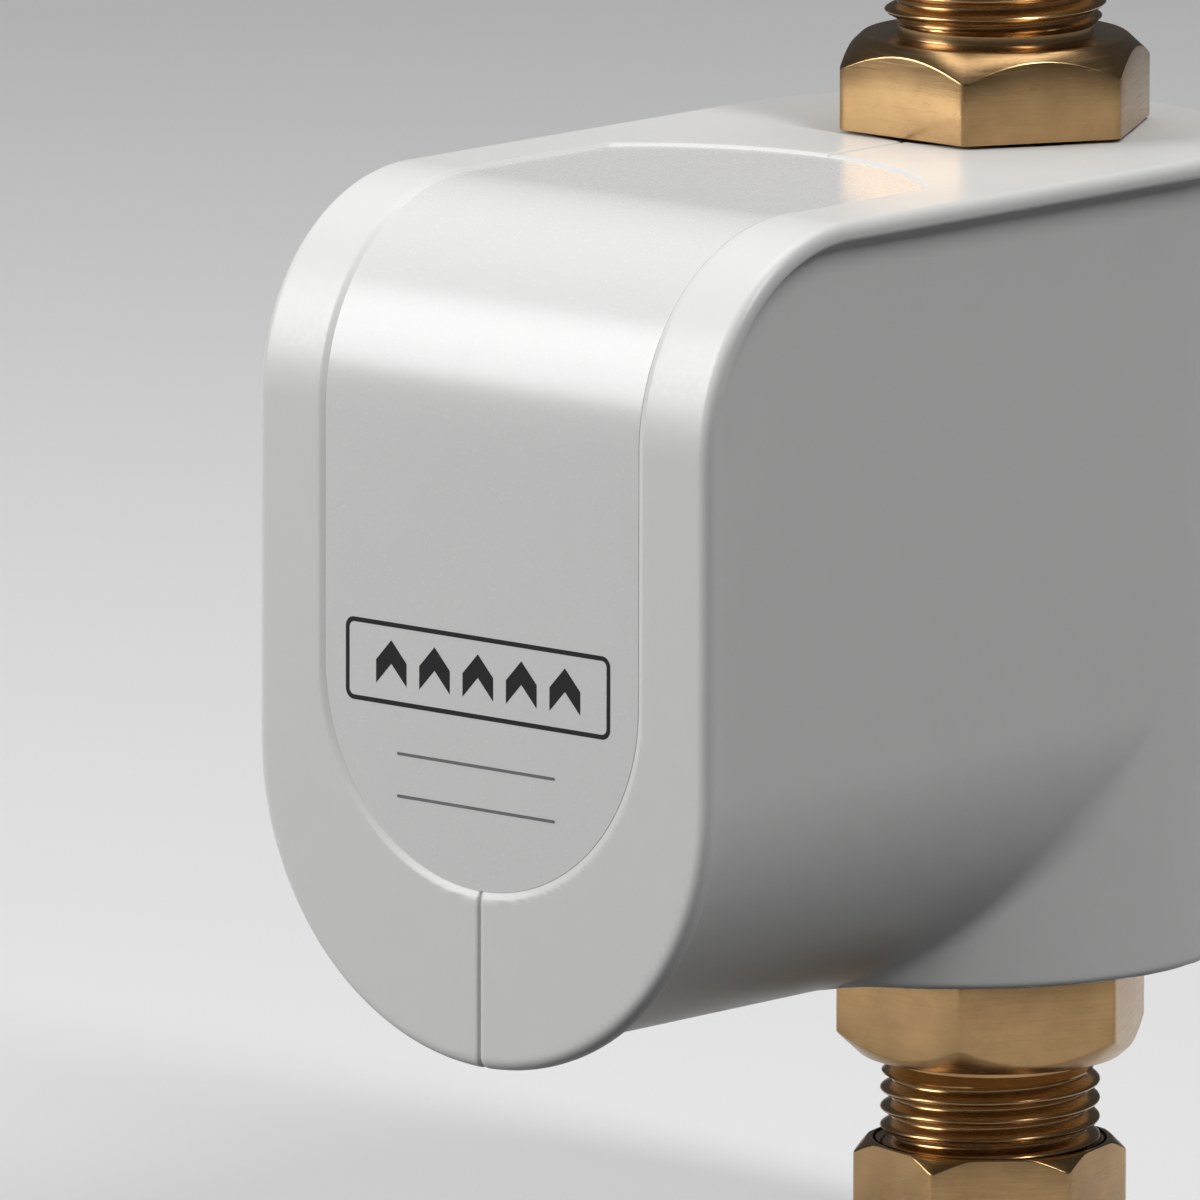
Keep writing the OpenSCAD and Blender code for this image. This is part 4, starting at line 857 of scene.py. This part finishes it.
# Inks, as the finishes above, and how much the black one shines
BLACK_INK = ((0.012, 0.012, 0.013), 0.0, 0.35, 1800, 0.1, 1e-6)
GREY_INK = ((0.16, 0.165, 0.17), 0.0, 0.35, 1800, 0.1, 1e-6)
BLACK_SHINE = 0.2
ink = surface_material("black_ink", *BLACK_INK)
ink.node_tree.nodes["Principled BSDF"].inputs["Specular IOR Level"].default_value = BLACK_SHINE
grey_ink = surface_material("grey_ink", *GREY_INK)

# Print on the label: a frame, the chevrons in it, and the blank lines under it
FRAME_LEFT = -16.9
FRAME_RIGHT = 16.0
FRAME_LOW_Z = 42.8
FRAME_H = 7.8
FRAME_LOW = FRAME_LOW_Z - LABEL_FOOT_Z
FRAME_HIGH = FRAME_LOW + FRAME_H
FRAME_LINE = 0.45
FRAME_OUTER_R = 1.0
FRAME_INNER_R = 0.6
CHEVRONS = 5
CHEVRON_LEFT = -11.2
CHEVRON_STEP = 5.4
CHEVRON_DROP = 1.7
CHEVRON_HALF_W = 1.9
CHEVRON_RISE = 2.0
CHEVRON_T = 2.2
LINE_HEIGHTS = (38.2, 34.2)
LINE_LEFT = -10.5
LINE_RIGHT = 9.2
LINE_T = 0.3

frame_outside = round_box(FRAME_LEFT, FRAME_RIGHT, FRAME_LOW, FRAME_HIGH, FRAME_OUTER_R)
frame_inside = round_box(FRAME_LEFT + FRAME_LINE, FRAME_RIGHT - FRAME_LINE,
                         FRAME_LOW + FRAME_LINE, FRAME_HIGH - FRAME_LINE, FRAME_INNER_R)
printed_band("frame_print", frame_outside, frame_inside, ink)
for number in range(CHEVRONS):
    printed_chevron("chevron_print_%d" % number, CHEVRON_LEFT + CHEVRON_STEP * number,
                    FRAME_HIGH - CHEVRON_DROP, CHEVRON_HALF_W, CHEVRON_RISE, CHEVRON_T, ink)
for number, height in enumerate(LINE_HEIGHTS):
    low = height - LABEL_FOOT_Z
    printed_bar("field_line_%d" % number, LINE_LEFT, LINE_RIGHT, low, low + LINE_T,
                LINE_T / 2, grey_ink)

# Camera: azimuth, elevation and roll in degrees, place and reach in metres, and lens and sensor
# in millimetres, fitted to the photograph
CAMERA_AZIMUTH = 41.787
CAMERA_ELEVATION = 10.118
CAMERA_ROLL = -0.104
CAMERA_PLACE = (1.35704, -1.57425, 0.41528)
CAMERA_REACH = 20
CAMERA_LENS = 668.56
CAMERA_SENSOR = 36
azimuth = math.radians(CAMERA_AZIMUTH)
elevation = math.radians(CAMERA_ELEVATION)
roll = math.radians(CAMERA_ROLL)
across = Vector((math.cos(azimuth), math.sin(azimuth), 0))
forward = Vector((-math.sin(azimuth) * math.cos(elevation), math.cos(azimuth) * math.cos(elevation),
                  -math.sin(elevation)))
turned = across * math.cos(roll) - across.cross(forward) * math.sin(roll)
up = turned.cross(forward)
camera_data = bpy.data.cameras.new("camera")
camera_data.lens = CAMERA_LENS
camera_data.sensor_width = CAMERA_SENSOR
camera_data.clip_end = CAMERA_REACH
camera = bpy.data.objects.new("camera", camera_data)
facing = Matrix((turned, up, -forward)).transposed().to_4x4()
camera.matrix_world = Matrix.Translation(CAMERA_PLACE) @ facing
bpy.context.scene.collection.objects.link(camera)
bpy.context.scene.camera = camera

# Point that the lamps face, in metres
AIM = Vector((0, -0.03, 0.05))


def area_light(name, place, width, height, power):
    """Rectangular soft white light that faces the part."""
    data = bpy.data.lights.new(name, "AREA")
    data.shape = "RECTANGLE"
    data.size = width
    data.size_y = height
    data.energy = power
    light = bpy.data.objects.new(name, data)
    light.location = place
    light.rotation_euler = (AIM - Vector(place)).to_track_quat("-Z", "Y").to_euler()
    bpy.context.scene.collection.objects.link(light)


# Lamps: name, place, width and height in metres, and power in watts
LAMPS = (
    ("key", (-0.75, -1.0, 0.65), 0.7, 0.8, 13.4),
    ("top", (-0.1, 0.15, 1.1), 0.9, 0.6, 4.8),
    ("side", (1.0, -0.1, 1.25), 0.2, 0.8, 9.4),
)
for lamp in LAMPS:
    area_light(*lamp)


def pale_look(nodes, links):
    """Output that is 1 where the camera, a gloss or a clear surface looks, and 0 for soft light."""
    path = nodes.new("ShaderNodeLightPath")
    look = path.outputs["Is Camera Ray"]
    for kind in ("Is Glossy Ray", "Is Transmission Ray"):
        either = nodes.new("ShaderNodeMath")
        either.operation = "MAXIMUM"
        links.new(look, either.inputs[0])
        links.new(path.outputs[kind], either.inputs[1])
        look = either.outputs[0]
    return look


# Dim light from all round
ROOM_COLOUR = (0.9, 0.92, 0.95, 1)
ROOM_STRENGTH = 0.09
world = bpy.data.worlds.new("studio")
world.use_nodes = True
room = world.node_tree.nodes["Background"]
room.inputs["Color"].default_value = ROOM_COLOUR
room.inputs["Strength"].default_value = ROOM_STRENGTH
bpy.context.scene.world = world
bpy.context.scene.view_settings.view_transform = "Standard"

# Floor: its colour for soft light, and as it looks, its finish, and its half width in metres
FLOOR_SHADE = (0.05, 0.05, 0.05, 1)
FLOOR_LOOK = (0.82, 0.82, 0.82, 1)
FLOOR_ROUGHNESS = 0.9
FLOOR_SHINE = 0.1
FLOOR_REACH = 4.0


def floor_paint():
    """Matt paint that looks pale, and throws less light up at the part."""
    material = bpy.data.materials.new("floor_paint")
    material.use_nodes = True
    nodes = material.node_tree.nodes
    links = material.node_tree.links
    shader = nodes["Principled BSDF"]
    shader.inputs["Roughness"].default_value = FLOOR_ROUGHNESS
    shader.inputs["Specular IOR Level"].default_value = FLOOR_SHINE
    tone = nodes.new("ShaderNodeMix")
    tone.data_type = "RGBA"
    tone.inputs["A"].default_value = FLOOR_SHADE
    tone.inputs["B"].default_value = FLOOR_LOOK
    links.new(pale_look(nodes, links), tone.inputs["Factor"])
    links.new(tone.outputs["Result"], shader.inputs["Base Color"])
    return material


floor_z = cad_box[0][2]
floor_mesh = bpy.data.meshes.new("floor")
floor_signs = ((-1, -1), (1, -1), (1, 1), (-1, 1))
floor_corners = [(a * FLOOR_REACH, b * FLOOR_REACH, floor_z) for a, b in floor_signs]
floor_mesh.from_pydata(floor_corners, [], [(0, 1, 2, 3)])
floor = bpy.data.objects.new("floor", floor_mesh)
floor_mesh.materials.append(floor_paint())
bpy.context.scene.collection.objects.link(floor)
